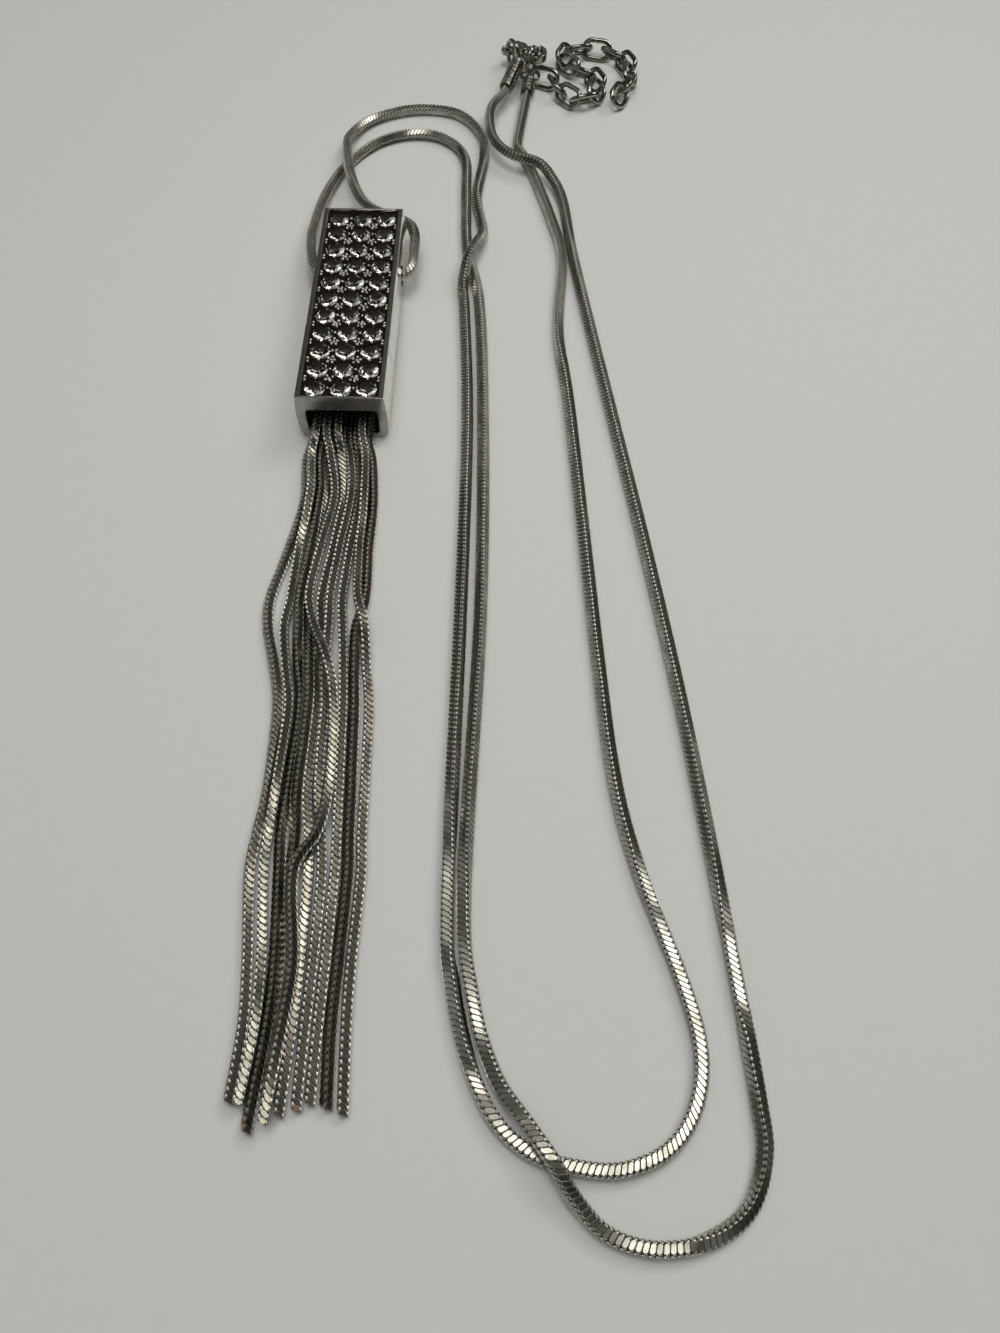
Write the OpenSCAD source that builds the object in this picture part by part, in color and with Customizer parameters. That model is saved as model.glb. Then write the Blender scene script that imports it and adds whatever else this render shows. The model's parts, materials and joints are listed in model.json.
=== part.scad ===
// Tassel necklace as it lies on a table: a long square snake chain, folded
// into two hanging loops, threads a stone-set case from side to side, and ten
// finer strands of the same chain hang out of the open end of the case.
// X runs to the right, Y towards the clasp, Z up from the table. The origin
// is on the table, under the middle of the whole piece. Sizes are millimetres.

/* [Case] */
// Width of the case at its top and foot
case_w = 12.9; // [12.7:0.1:13.3]
// Length of the case, from its open mouth to its closed end
case_l = 42.5; // [42.5:0.1:43.5]
// Height of the case
case_h = 8.2; // [8:0.1:8.6]
// How far each side wall swells out at half its height
wall_swell = 0.3; // [0.2:0.1:0.4]
// Thickness of the side walls
wall_t = 1.15; // [1:0.05:1.2]
// Thickness of the closed end
end_t = 1.2; // [1:0.1:1.6]
// Thickness of the plate under the tassel
floor_t = 0.8; // [0.6:0.1:0.9]
// Thickness of the block that the stones are set in
top_t = 2.6; // [2.4:0.1:3]
// Depth of the stone field below the rim
field_drop = 0.5; // [0.4:0.05:0.6]
// Width of the flat rim along the sides
rim_side = 0.7; // [0.6:0.05:0.8]
// Width of the flat rim at the two ends
rim_end = 0.35; // [0.3:0.05:0.4]
// Diameter of the chain hole in each side wall
chain_hole_d = 3.4; // [3.3:0.1:3.5]

/* [Stones] */
// Stones across the case
stone_cols = 3; // [2:1:3]
// Stones along the case
stone_rows = 11; // [9:1:11]
// Diameter of a stone
stone_d = 3.1; // [2.9:0.05:3.2]
// Distance between stone centres
stone_pitch = 3.8; // [3.75:0.05:3.85]
// Radius of the small grains of metal that hold the stones
grain_r = 0.32; // [0.25:0.01:0.35]

/* [Chain] */
// Diameter over the corners of the snake chain
chain_d = 1.8; // [1.6:0.05:1.8]
// Diameter of one strand of the tassel
strand_d = 1.33; // [1.2:0.01:1.34]

/* [Clasp] */
// Outer diameter of the ribbed end caps
cap_d = 2.7; // [2.5:0.1:2.8]
// Thickness of the clasp over its cheeks
clasp_t = 2.5; // [2.3:0.1:2.6]
// Thickness of the hook
hook_t = 1.5; // [1.3:0.1:1.5]
// Wire diameter of the two jump rings
ring_wire = 0.8; // [0.7:0.05:0.8]

/* [Extender] */
// Number of oval links
link_count = 16; // [14:1:16]
// Outer length of a link
link_l = 6.2; // [6.2:0.05:6.3]
// Outer width of a link
link_w = 4.2; // [4.2:0.05:4.3]
// Wire diameter of a link
link_wire = 0.9; // [0.8:0.05:0.9]
// Distance from one interlock to the next
link_pitch = 3.9; // [3.85:0.05:3.9]

/* [Hidden] */
case_x = -21.55;
case_y = 1.5;
case_end_y = case_y + case_l;
hole_y = 32.7;
hole_z = 4;
foot_r = 1.2;
field_z = case_h - field_drop;
ceiling_z = case_h - top_t;
swell_r = (pow(case_h / 2, 2) + pow(wall_swell, 2)) / (2 * wall_swell);

stone_gap = 0.1;
table_sides = 8;
table_r = stone_d * 0.29;
crown_h = 0.45;
girdle_h = 0.12;
pavilion_h = 0.75;
culet_r = stone_d * 0.2;
grain_z = field_z + 0.08;
grain_spread = 0.44;
stones_y0 = case_y + case_l / 2 - stone_pitch * (stone_rows - 1) / 2;

lift = 0.02;
chain_r = chain_d / 2;
chain_z = chain_r + lift;
chain_sides = 8;
// A ring is added half-way where the route turns by more than this
turn_limit = 16;

// Route of the first half of the chain, from its end cap to the left hole of
// the case: x, y and the height of the strand's underside
ROUTE_A = [
    [1.85, 89.45, 2.2], [0.7, 85.7, 1.95], [-1.2, 81.7, 2.1], [-1.65, 76.8, 2.1],
    [-0.6, 71.2, 2.05], [2.4, 67.1, 2.05], [7.4, 64.9, 1.9], [10.1, 61.8, 0.8],
    [12, 56, 0.1], [13.6, 41.4, 0], [18.6, 7.9, 0], [22.9, -20.5, 0],
    [26.3, -45.9, 0], [29.7, -77.5, 0], [30.9, -90.6, 0], [30.9, -95.6, 0],
    [28.9, -100.4, 0], [24.8, -103.2, 0], [19.6, -104.2, 0], [14.6, -103, 0],
    [11.2, -99.9, 0.7], [9.1, -96.7, 2], [6.4, -93.1, 1.3], [3, -88.3, 0.1],
    [0.4, -80.5, 0], [-1, -68, 0], [-0.2, -30, 0], [-0.8, 4, 0],
    [-2.2, 30.7, 0], [-4.6, 43.5, 0], [-5.3, 57, 0], [-6, 69, 0],
    [-10.2, 74.5, 0], [-16.1, 75.7, 0], [-22.1, 73.1, 0], [-27.2, 66.5, 0],
    [-30.1, 57.6, 0.5], [-31, 46, 1.9], [-30.7, 40.5, 2.6], [-30.2, 37.4, 3],
    [-29.7, 35, 3.1], [-28.8, 33.3, 3.1], [-26.9, 32.7, 3.1], [-24.6, 32.6, 3.1],
    [-21.6, 32.7, 3.1]
];

// Route of the second half, from its cap on the extender to the right hole
ROUTE_B = [
    [5.35, 89.1, 0.55], [4.9, 84.9, 0.35], [4, 77, 0.05], [3.7, 72.4, 0],
    [5.2, 68.8, 0], [7.3, 61.8, 0], [10, 51.1, 0], [11.6, 41.4, 0],
    [10.8, 24, 0], [12.4, 7, 0], [15.5, -37.2, 0], [17.1, -54.5, 0],
    [19.6, -66.1, 0], [23.5, -77.6, 0], [25.2, -85.4, 0], [24.2, -91.2, 0],
    [21.2, -95.2, 0], [16.4, -97.2, 0], [11.6, -97.1, 0], [7, -95.9, 0],
    [3.1, -92.8, 0], [0.3, -87.4, 0], [-1.8, -79.5, 0], [-2.9, -69.6, 0],
    [-2.9, -30, 0], [-3.2, 4, 0], [-4.5, 28, 0], [-5, 33.6, 0.4],
    [-4.3, 38.6, 1.9], [-3, 43, 1.7], [-2.1, 48.3, 0.1], [-3.4, 57.8, 0],
    [-2.4, 69.2, 0], [-3.3, 76.3, 0], [-8, 82.3, 0], [-16, 83.4, 0],
    [-23.6, 80, 0.1], [-27.3, 73.6, 0.9], [-27.2, 67, 2], [-25.7, 59.4, 2.3],
    [-23, 52.4, 2.6], [-19.2, 48.4, 3.1], [-14.8, 46.1, 3.1], [-13.4, 43, 3.1],
    [-13.3, 39, 3.1], [-13.4, 35.2, 3.1], [-14.4, 33.3, 3.1], [-16.3, 32.7, 3.1],
    [-18.5, 32.6, 3.1], [-21.5, 32.7, 3.1]
];

// Tassel: the stations along the strands, then a row for each strand with its
// place across at each station, its heap level at each station and its tip
strand_r = strand_d / 2;
strand_z = strand_r + lift;
level_h = 0.8;
head_y = 16.5;
head_grip = 1.5;
head_l = 8;
head_gap = 0.3;
head_w = case_w - 2 * wall_t - 2 * head_gap;
plate_rise = floor_t + 0.05;
STATION_Y = [1, -4, -11, -20, -28, -33, -39, -45, -56, -62, -67, -77, -84];
STRANDS = [
    [[-26, -26.7, -26.2, -27.4, -28.9, -28.6, -27, -25.8, -25.6, -26.1, -26.3, -25.1, -24.6],
     [0, 0, 0, 0, 0, 0, 0, 0, 0, 0, 0, 0, 0], [-25, -92.1]],
    [[-25.5, -25.8, -25.2, -26, -26.1, -26.4, -25.4, -24.3, -24.3, -24.7, -24.6, -23.5, -23.1],
     [2, 2, 2, 0, 0, 0, 0, 0, 1, 0, 0, 0, 1], [-23.8, -92.4]],
    [[-24.6, -24.6, -24, -24.3, -24.8, -24.5, -23.9, -22.9, -23.1, -23.2, -22.8, -22, -22],
     [0, 1, 1, 1, 1, 1, 0, 0, 0, 0, 0, 0, 0], [-22.8, -94.8]],
    [[-23.2, -23.4, -22.9, -23.2, -23.7, -23.2, -22.4, -21.8, -21.8, -21.5, -21.4, -20.6, -20.6],
     [0, 0, 0, 0, 0, 0, 1, 1, 1, 0, 0, 0, 0], [-21.2, -92]],
    [[-24, -23, -21.8, -22.5, -23.3, -22.3, -19.7, -18.4, -17.9, -18.6, -20.9, -19.8, -20],
     [2, 2, 1, 2, 2, 2, 3, 2, 2, 2, 2, 2, 2], [-20.8, -94.3]],
    [[-22.3, -21.5, -20.6, -21.2, -21.9, -21.4, -21.3, -20.7, -20.6, -19.8, -19.3, -19.1, -19.2],
     [2, 1, 0, 0, 0, 0, 0, 0, 0, 0, 0, 0, 0], [-19.6, -93.5]],
    [[-21, -20.1, -19.4, -20.1, -20.6, -20.3, -20.2, -19.6, -19.2, -18.4, -17.8, -17.7, -17.8],
     [0, 1, 1, 1, 1, 1, 1, 1, 1, 0, 0, 0, 0], [-17.8, -92.8]],
    [[-19.6, -18.9, -18.3, -18.8, -19.1, -18.6, -17.9, -17.4, -16.8, -16.5, -16.3, -16.3, -16.4],
     [0, 0, 0, 0, 0, 0, 0, 0, 0, 0, 0, 0, 0], [-16.4, -92.3]],
    [[-18.7, -17.9, -17.4, -17.4, -16.9, -15.6, -14.9, -14.1, -13.7, -13.5, -13.2, -13.4, -13.3],
     [2, 2, 2, 1, 2, 2, 0, 0, 0, 0, 0, 0, 0], [-12.8, -93.2]],
    [[-17.9, -17, -16.3, -16.2, -16, -16.8, -16.5, -16, -15.4, -15.1, -14.8, -14.9, -15],
     [0, 0, 0, 0, 0, 0, 0, 0, 0, 0, 0, 0, 0], [-14.6, -92.6]]
];

// Clasp, in its own plane: u from the eye towards the hook, v to the lever side
clasp_at = [1.4, 100.6, 2.65];
clasp_turn = -13;
eye_r = 1.3;
eye_hole_r = 0.75;
eye_t = 0.8;
cheek_u = 2.5;
cheek_r = 1.5;
mouth_u = 5.6;
mouth_r = 1.35;
hook_r = 2.3;
pivot = [2.5, 0.55];
pin_r = 0.3;
pin_play = 0.06;
lever_t = 1;
lever_play = 0.1;
boss_r = 0.8;
gate_edge = 0.35;
// From the pivot to the face of the hook that the lever's tip swings past
gate_reach = 3.85;
neck_w = 1.6;
slot_from = [0.85, -0.45];
slot_size = [4, 3];
knob = [1.55, 2.15];
knob_r = 0.55;

rib_spacing = 1;
rib_rise = 0.12;
socket_play = 0.1;
socket_depth = 2.6;
cap_a_from = [1.2, 87.2, 2.95];
cap_a_to = [3.4, 95.1, 3.5];
cap_a_eye = 1.15;
cap_a_eye_r = 1;
cap_a_eye_wire = 0.25;
cap_b_from = [5.25, 88.2, 1.45];
cap_b_to = [5.7, 92.4, 1.5];
cap_b_eye = 1.75;
cap_b_eye_wire = 0.3;
ring_a = [2.55, 98.4, 3];
ring_a_r = 2.5;
ring_a_turn = 117.7;
ring_b = [6.18, 96.56, 2.9];
ring_b_r = 2.4;
ring_b_turn = 68.9;

// Route of the extender, from the cap's eye to its last link
ROUTE_E = [
    [6.9, 93.9], [10.5, 92.4], [11.9, 88.7], [14.7, 86], [18, 87.2], [19.4, 90.6],
    [18.2, 94], [15.4, 95.8], [12.8, 97.8], [12.1, 100.5], [13.5, 102.7], [16.8, 103.6],
    [20.6, 103], [23.8, 100.8], [25.5, 97.4], [25.3, 93.4], [23.8, 89.6], [22.2, 85.6]
];

case_col = "gainsboro";
chain_col = "silver";
stone_col = "lavender";

STONE_ROWS = [for (r = [1:stone_rows]) r];
STONE_COLS = [for (c = [1:stone_cols]) c];
function stone_name(r, c) = str("stone_", r, "_", c);

// Vector helpers
function unit(v) = v / norm(v);
function turn_of(a, b) = acos(min(1, max(-1, unit(a) * unit(b))));

// A point of a smooth curve through four neighbours
function smooth(a, b, c, d, t) =
    0.5 * (2 * b + (c - a) * t + (2 * a - 5 * b + 4 * c - d) * t * t
        + (3 * b - a - 3 * c + d) * t * t * t);
function near(p, i) = p[min(len(p) - 1, max(0, i))];
function between_points(p, i, t) = smooth(near(p, i - 1), p[i], near(p, i + 1), near(p, i + 2), t);

// How sharply the route turns at either end of a stretch
function bend_at(p, i) =
    i < 1 || i > len(p) - 2 ? 0 : turn_of(p[i] - p[i - 1], p[i + 1] - p[i]);
function bends(p, i) = max(bend_at(p, i), bend_at(p, i + 1)) > turn_limit;

// The route with a point added in each stretch that bends
function softened(p) = [
    for (i = [0:len(p) - 1], t = (i < len(p) - 1 && bends(p, i)) ? [0, 0.5] : [0])
        between_points(p, i, t)
];
function tangent(p, i) = unit(near(p, i + 1) - near(p, i - 1));
function across(t) = unit([t[1], -t[0], 0]);

// A tube with flat ends round a route, one ring of corners at each point
module tube(p, r, sides) {
    last = len(p) - 1;
    rings = [
        for (i = [0:last], k = [0:sides - 1])
            let (t = tangent(p, i), n = across(t), a = 360 * (k + 0.5) / sides)
                p[i] + r * (cos(a) * n + sin(a) * cross(n, t))
    ];
    walls = [
        for (i = [0:last - 1], k = [0:sides - 1])
            let (a = i * sides + k, b = i * sides + (k + 1) % sides)
                for (face = [[a, b, b + sides], [a, b + sides, a + sides]]) face
    ];
    first_end = [for (k = [sides - 1:-1:0]) k];
    last_end = [for (k = [0:sides - 1]) last * sides + k];
    polyhedron(rings, concat([first_end], walls, [last_end]));
}

// Places its child, built upwards from the origin, on the line from a to b
module along(a, b) {
    d = b - a;
    translate(a)
        rotate([0, acos(d[2] / norm(d)), atan2(d[1], d[0])])
            children();
}

module ring(r, wire_r) {
    rotate_extrude($fn = 48)
        translate([r, 0])
            circle(wire_r, $fn = 24);
}

// Flat outline round two circles on the u axis, with straight sides that
// touch both
module taper(u1, r1, u2, r2) {
    lean = asin((r2 - r1) / (u2 - u1));
    translate([u1, 0])
        circle(r1, $fn = 48);
    translate([u2, 0])
        circle(r2, $fn = 48);
    polygon([
        for (side = [1, -1])
            for (end = side > 0 ? [[u1, r1], [u2, r2]] : [[u2, r2], [u1, r1]])
                [end[0] - end[1] * sin(lean), side * end[1] * cos(lean)]
    ]);
}

module slab(t) {
    translate([0, 0, -t / 2])
        linear_extrude(t)
            children();
}

// Case
module case_section() {
    full_w = case_w + 2 * wall_swell;
    intersection() {
        union() {
            translate([-full_w / 2, foot_r])
                square([full_w, case_h - foot_r]);
            translate([-case_w / 2 + foot_r, 0])
                square([case_w - 2 * foot_r, foot_r]);
            for (side = [-1, 1])
                translate([side * (case_w / 2 - foot_r), foot_r])
                    circle(foot_r, $fn = 48);
        }
        wall_curve(1);
        wall_curve(-1);
    }
}

// The disc whose edge is the swelling outer face of one side wall
module wall_curve(side) {
    translate([side * (case_w / 2 + wall_swell - swell_r), case_h / 2])
        circle(swell_r, $fn = 96);
}

module stone_pocket() {
    depth = pavilion_h + girdle_h + stone_gap + crown_h;
    translate([0, 0, case_h - depth])
        cylinder(h = depth + 1, r = stone_d / 2 + stone_gap, $fn = 48);
}

function stone_at(r, c) = [
    case_x + (c - (stone_cols + 1) / 2) * stone_pitch,
    stones_y0 + (r - 1) * stone_pitch
];

module grain(x, y) {
    translate([x, y, grain_z])
        sphere(grain_r, $fn = 24);
}

// A knot of four grains between four stones, and single ones along the rim
module grains() {
    for (r = [1:stone_rows - 1], c = [1:stone_cols - 1])
        let (p = (stone_at(r, c) + stone_at(r + 1, c + 1)) / 2)
            for (a = [0:90:270])
                grain(p[0] + grain_spread * cos(a), p[1] + grain_spread * sin(a));
    edge = case_w / 2 - rim_side - grain_r;
    for (r = [1:stone_rows - 1], side = [-1, 1])
        let (p = (stone_at(r, 1) + stone_at(r + 1, 1)) / 2)
            grain(case_x + side * edge, p[1]);
}

module case() {
    color(case_col)
    difference() {
        union() {
            difference() {
                translate([case_x, case_end_y, 0])
                    rotate([90, 0, 0])
                        linear_extrude(case_l)
                            case_section();
                translate([case_x - case_w / 2 + rim_side, case_y + rim_end, field_z])
                    cube([case_w - 2 * rim_side, case_l - 2 * rim_end, field_drop + 1]);
                translate([case_x - case_w / 2 + wall_t, case_y - 1, floor_t])
                    cube([case_w - 2 * wall_t, case_l - end_t + 1, ceiling_z - floor_t]);
            }
            grains();
        }
        translate([case_x - case_w, hole_y, hole_z])
            rotate([0, 90, 0])
                cylinder(h = 2 * case_w, d = chain_hole_d, $fn = 48);
        for (r = STONE_ROWS, c = STONE_COLS)
            translate(concat(stone_at(r, c), [0]))
                stone_pocket();
    }
}

// A cut stone: an eight-sided table, two rows of crown facets down to a
// girdle with twice as many sides, and the same again to a small flat foot
module stone(r, c) {
    n = table_sides;
    girdle_z = case_h - crown_h;
    // Radius, height and number of corners of each level
    levels = [
        [table_r, case_h, n], [stone_d / 2, girdle_z, 2 * n],
        [stone_d / 2, girdle_z - girdle_h, 2 * n], [culet_r, girdle_z - girdle_h - pavilion_h, n]
    ];
    corners = [
        for (level = levels, k = [0:level[2] - 1])
            let (a = 360 * (k + (level[2] == n ? 0.25 : 0)) / level[2])
                [level[0] * cos(a), level[0] * sin(a), level[1]]
    ];
    // Where the corners of the girdle's two edges and of the foot begin
    g = n;
    b = g + 2 * n;
    f = b + 2 * n;
    color(stone_col)
    translate(concat(stone_at(r, c), [0]))
        polyhedron(corners, concat(
            [[for (k = [n - 1:-1:0]) k]],
            [for (k = [0:n - 1]) [k, g + 2 * k + 1, g + 2 * k]],
            [for (k = [0:n - 1]) [k, (k + 1) % n, g + (2 * k + 2) % (2 * n), g + 2 * k + 1]],
            [for (k = [0:2 * n - 1]) [g + k, g + (k + 1) % (2 * n), b + (k + 1) % (2 * n), b + k]],
            [for (k = [0:n - 1]) [b + 2 * k, b + 2 * k + 1, f + k]],
            [for (k = [0:n - 1]) [b + 2 * k + 1, b + (2 * k + 2) % (2 * n), f + (k + 1) % n, f + k]],
            [[for (k = [0:n - 1]) f + k]]
        ));
}

// Tassel
function level_z(s, i) = strand_z + level_h * s[1][i];
function strand_route(s) = concat(
    [[s[0][0], head_y, level_z(s, 0) + plate_rise]],
    [for (i = [0:len(STATION_Y) - 1])
        [s[0][i], STATION_Y[i], level_z(s, i) + (i == 0 ? plate_rise : 0)]],
    [[s[2][0], s[2][1], level_z(s, len(STATION_Y) - 1)]]
);

module tassel() {
    color(chain_col)
    union() {
        translate([case_x - head_w / 2, head_y - head_grip, floor_t + head_gap])
            cube([head_w, head_l, ceiling_z - floor_t - 2 * head_gap]);
        for (s = STRANDS)
            tube(softened(strand_route(s)), strand_r, 8);
    }
}

// Chain halves
function route_at_height(route) = [for (p = route) [p[0], p[1], p[2] + chain_z]];

module chain_a() {
    color(chain_col)
        tube(softened(route_at_height(ROUTE_A)), chain_r, chain_sides);
}

module chain_b() {
    color(chain_col)
        tube(softened(route_at_height(ROUTE_B)), chain_r, chain_sides);
}

// A ribbed cap with a socket for the chain and a flat eye soldered to its end
module cap(from, to, eye_at, eye_loop_r, eye_wire_r) {
    length = norm(to - from);
    ribs = round(length / rib_spacing);
    pitch = length / ribs;
    color(case_col)
    difference() {
        union() {
            along(from, to) {
                cylinder(h = length, r = cap_d / 2 - rib_rise, $fn = 48);
                for (i = [0:ribs - 1])
                    translate([0, 0, (i + 0.25) * pitch])
                        cylinder(h = pitch / 2, r = cap_d / 2, $fn = 48);
            }
            translate(from + unit(to - from) * (length + eye_at))
                ring(eye_loop_r, eye_wire_r);
        }
        along(from - unit(to - from), to)
            cylinder(h = 1 + socket_depth, r = chain_r + socket_play, $fn = 48);
    }
}

module cap_a() {
    cap(cap_a_from, cap_a_to, cap_a_eye, cap_a_eye_r, cap_a_eye_wire);
}

module cap_b() {
    cap(cap_b_from, cap_b_to, cap_b_eye, cap_b_eye, cap_b_eye_wire);
}

module upright_ring(at, r, turn) {
    color(case_col)
    translate(at)
        rotate([90, 0, turn])
            ring(r, ring_wire / 2);
}

module ring_a() {
    upright_ring(ring_a, ring_a_r, ring_a_turn);
}

module ring_b() {
    upright_ring(ring_b, ring_b_r, ring_b_turn);
}

// Clasp
module clasp_place() {
    translate(clasp_at)
        rotate([0, 0, clasp_turn])
            children();
}

// What the lever leaves free: the gate on its side of the mouth
module gate() {
    intersection() {
        translate([cheek_u + gate_edge, gate_edge])
            square([gate_reach, hook_r]);
        translate(pivot)
            circle(gate_reach, $fn = 96);
    }
}

module clasp_body() {
    color(case_col)
    clasp_place() {
        difference() {
            union() {
                slab(hook_t)
                    difference() {
                        taper(cheek_u, cheek_r, mouth_u, hook_r);
                        translate([mouth_u, 0])
                            circle(mouth_r, $fn = 48);
                        gate();
                    }
                slab(clasp_t)
                    translate([cheek_u, 0])
                        circle(cheek_r, $fn = 48);
                slab(eye_t) {
                    circle(eye_r, $fn = 48);
                    translate([0, -neck_w / 2])
                        square([cheek_u, neck_w]);
                }
            }
            slab(hook_t + 1)
                circle(eye_hole_r, $fn = 48);
            // The slot between the two cheeks, where the lever swings
            slab(lever_t + 2 * lever_play)
                translate(slot_from)
                    square(slot_size);
        }
        translate([pivot[0], pivot[1], -clasp_t / 2])
            cylinder(h = clasp_t, r = pin_r, $fn = 48);
    }
}

module clasp_lever() {
    tip_r = gate_reach - lever_play;
    tip_u = pivot[0] + tip_r;
    color(case_col)
    clasp_place()
        difference() {
            union() {
                slab(lever_t) {
                    translate(pivot)
                        circle(boss_r, $fn = 48);
                    // The bar across the mouth, its tip on an arc round the pivot
                    intersection() {
                        polygon([
                            pivot + [0, -0.35], [tip_u, mouth_r - 0.05], [tip_u, hook_r - 0.1],
                            [mouth_u - 0.7, hook_r - 0.18], pivot + [0, boss_r]
                        ]);
                        translate(pivot)
                            circle(tip_r, $fn = 96);
                    }
                    polygon([
                        pivot + [-0.6, 0.2], pivot + [0.3, 0.6],
                        knob + [0.35, -0.1], knob + [-0.4, -0.1]
                    ]);
                }
                slab(hook_t)
                    translate(knob)
                        circle(knob_r, $fn = 48);
            }
            slab(lever_t + 1)
                translate(pivot)
                    circle(pin_r + pin_play, $fn = 48);
        }
}

// Extender
function walk(p, i, left) =
    i >= len(p) - 1 ? p[len(p) - 1]
    : let (step = norm(p[i + 1] - p[i]))
        left <= step ? p[i] + (p[i + 1] - p[i]) * left / step : walk(p, i + 1, left - step);

extender_fine = [
    for (i = [0:len(ROUTE_E) - 2], t = [0:0.25:0.75])
        between_points(ROUTE_E, i, t)
];
extender_joint = [for (i = [0:link_count]) walk(extender_fine, 0, i * link_pitch)];

// Links lean to either side by turns
link_lean = 45;
function link_roll(i) = i % 2 == 0 ? link_lean : -link_lean;

// The middle line of a link in its own plane, as a row of corners
link_corners = 12;
wire_sides = 6;
link_wire_r = link_wire / 2;
bow_r = link_w / 2 - link_wire_r;
leg = link_l / 2 - link_wire_r - bow_r;
function link_line(k, n) =
    let (a = 360 * (k + 0.5) / n)
        [bow_r * cos(a) + (cos(a) > 0 ? leg : -leg), bow_r * sin(a)];

module oval_link() {
    corners = link_corners;
    points = [
        for (k = [0:corners - 1], j = [0:wire_sides - 1])
            let (c = link_line(k, corners), a = 360 * (k + 0.5) / corners,
                 w = 360 * j / wire_sides)
                [c[0] + link_wire_r * cos(w) * cos(a), c[1] + link_wire_r * cos(w) * sin(a),
                 link_wire_r * sin(w)]
    ];
    faces = [
        for (k = [0:corners - 1], j = [0:wire_sides - 1])
            let (k2 = (k + 1) % corners, j2 = (j + 1) % wire_sides)
                for (f = [[k * wire_sides + j, k * wire_sides + j2, k2 * wire_sides + j2],
                          [k * wire_sides + j, k2 * wire_sides + j2, k2 * wire_sides + j]]) f
    ];
    polyhedron(points, faces);
}

module extender() {
    color(case_col)
    for (i = [0:link_count - 1])
        let (a = extender_joint[i], b = extender_joint[i + 1], d = b - a, m = (a + b) / 2,
             roll = link_roll(i))
            translate([m[0], m[1], bow_r * abs(sin(roll)) + link_wire_r + lift])
                rotate([0, 0, atan2(d[1], d[0])])
                    rotate([roll, 0, 0])
                        oval_link();
}

case();
tassel();
chain_a();
chain_b();
cap_a();
cap_b();
ring_a();
ring_b();
clasp_body();
clasp_lever();
extender();
for (r = STONE_ROWS, c = STONE_COLS)
    stone(r, c);
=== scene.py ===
"""The looks of a tassel necklace that lies on a table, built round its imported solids.

Everything is in metres in the solids' own frame: X to the right, Y towards the
clasp and Z up from the table. A table of points or stations is written in
millimetres and turned into metres where it is read.
"""

import json
import logging
import math
import random
from collections.abc import Callable, Iterable, Iterator, Sequence
from contextlib import contextmanager
from dataclasses import dataclass
from enum import Enum
from typing import Any

import bmesh
import bpy
from mathutils import Matrix, Vector

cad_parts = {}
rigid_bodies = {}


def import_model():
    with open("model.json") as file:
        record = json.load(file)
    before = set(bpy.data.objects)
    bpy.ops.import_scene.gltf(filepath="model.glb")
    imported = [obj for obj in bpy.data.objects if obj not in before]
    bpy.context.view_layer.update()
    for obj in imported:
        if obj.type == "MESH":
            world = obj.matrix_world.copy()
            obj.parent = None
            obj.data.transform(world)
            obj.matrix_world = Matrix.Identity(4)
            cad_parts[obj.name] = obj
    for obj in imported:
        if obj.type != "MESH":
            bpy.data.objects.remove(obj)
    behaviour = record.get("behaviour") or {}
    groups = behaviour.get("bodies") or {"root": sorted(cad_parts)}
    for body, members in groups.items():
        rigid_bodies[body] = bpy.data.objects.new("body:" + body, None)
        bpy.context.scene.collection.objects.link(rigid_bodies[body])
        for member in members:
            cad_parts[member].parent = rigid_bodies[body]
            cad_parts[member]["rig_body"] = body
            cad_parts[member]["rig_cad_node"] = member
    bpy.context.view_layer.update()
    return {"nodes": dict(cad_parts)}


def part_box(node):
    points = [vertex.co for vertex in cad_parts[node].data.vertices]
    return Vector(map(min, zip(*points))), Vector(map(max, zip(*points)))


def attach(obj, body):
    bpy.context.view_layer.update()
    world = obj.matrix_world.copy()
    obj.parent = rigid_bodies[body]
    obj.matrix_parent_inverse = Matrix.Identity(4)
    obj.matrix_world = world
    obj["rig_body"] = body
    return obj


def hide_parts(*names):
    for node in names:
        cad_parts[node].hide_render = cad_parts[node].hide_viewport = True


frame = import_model()

log = logging.getLogger("necklace")

MM = 0.001

# How close two places count as one, in metres
TIDY = 1e-7
# How far along an axis the normal of a face that looks that way reaches
FACING = 0.99
# How sharp an edge is before its bevel takes it, in radians
SHARP = 0.6

Point = tuple[float, float, float]
Colour = tuple[float, float, float]
Span = tuple[float, float]
Piece = bpy.types.Object
Socket = bpy.types.NodeSocket
Material = bpy.types.Material
PairTest = Callable[[Vector, Vector], bool]
Profile = Callable[[float], float]


class Body(Enum):
    """The rigid bodies that the pieces ride on."""

    NECKLACE = "necklace"
    LEVER = "lever"


class Slot(Enum):
    """The record's material slots."""

    CASE = "case_metal"
    CHAIN = "snake_chain"
    TASSEL = "tassel_chain"
    CAP = "cap_metal"
    LINK = "link_metal"
    CLASP = "clasp_metal"
    STONE = "stone"


# Routes and stations, in millimetres

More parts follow.
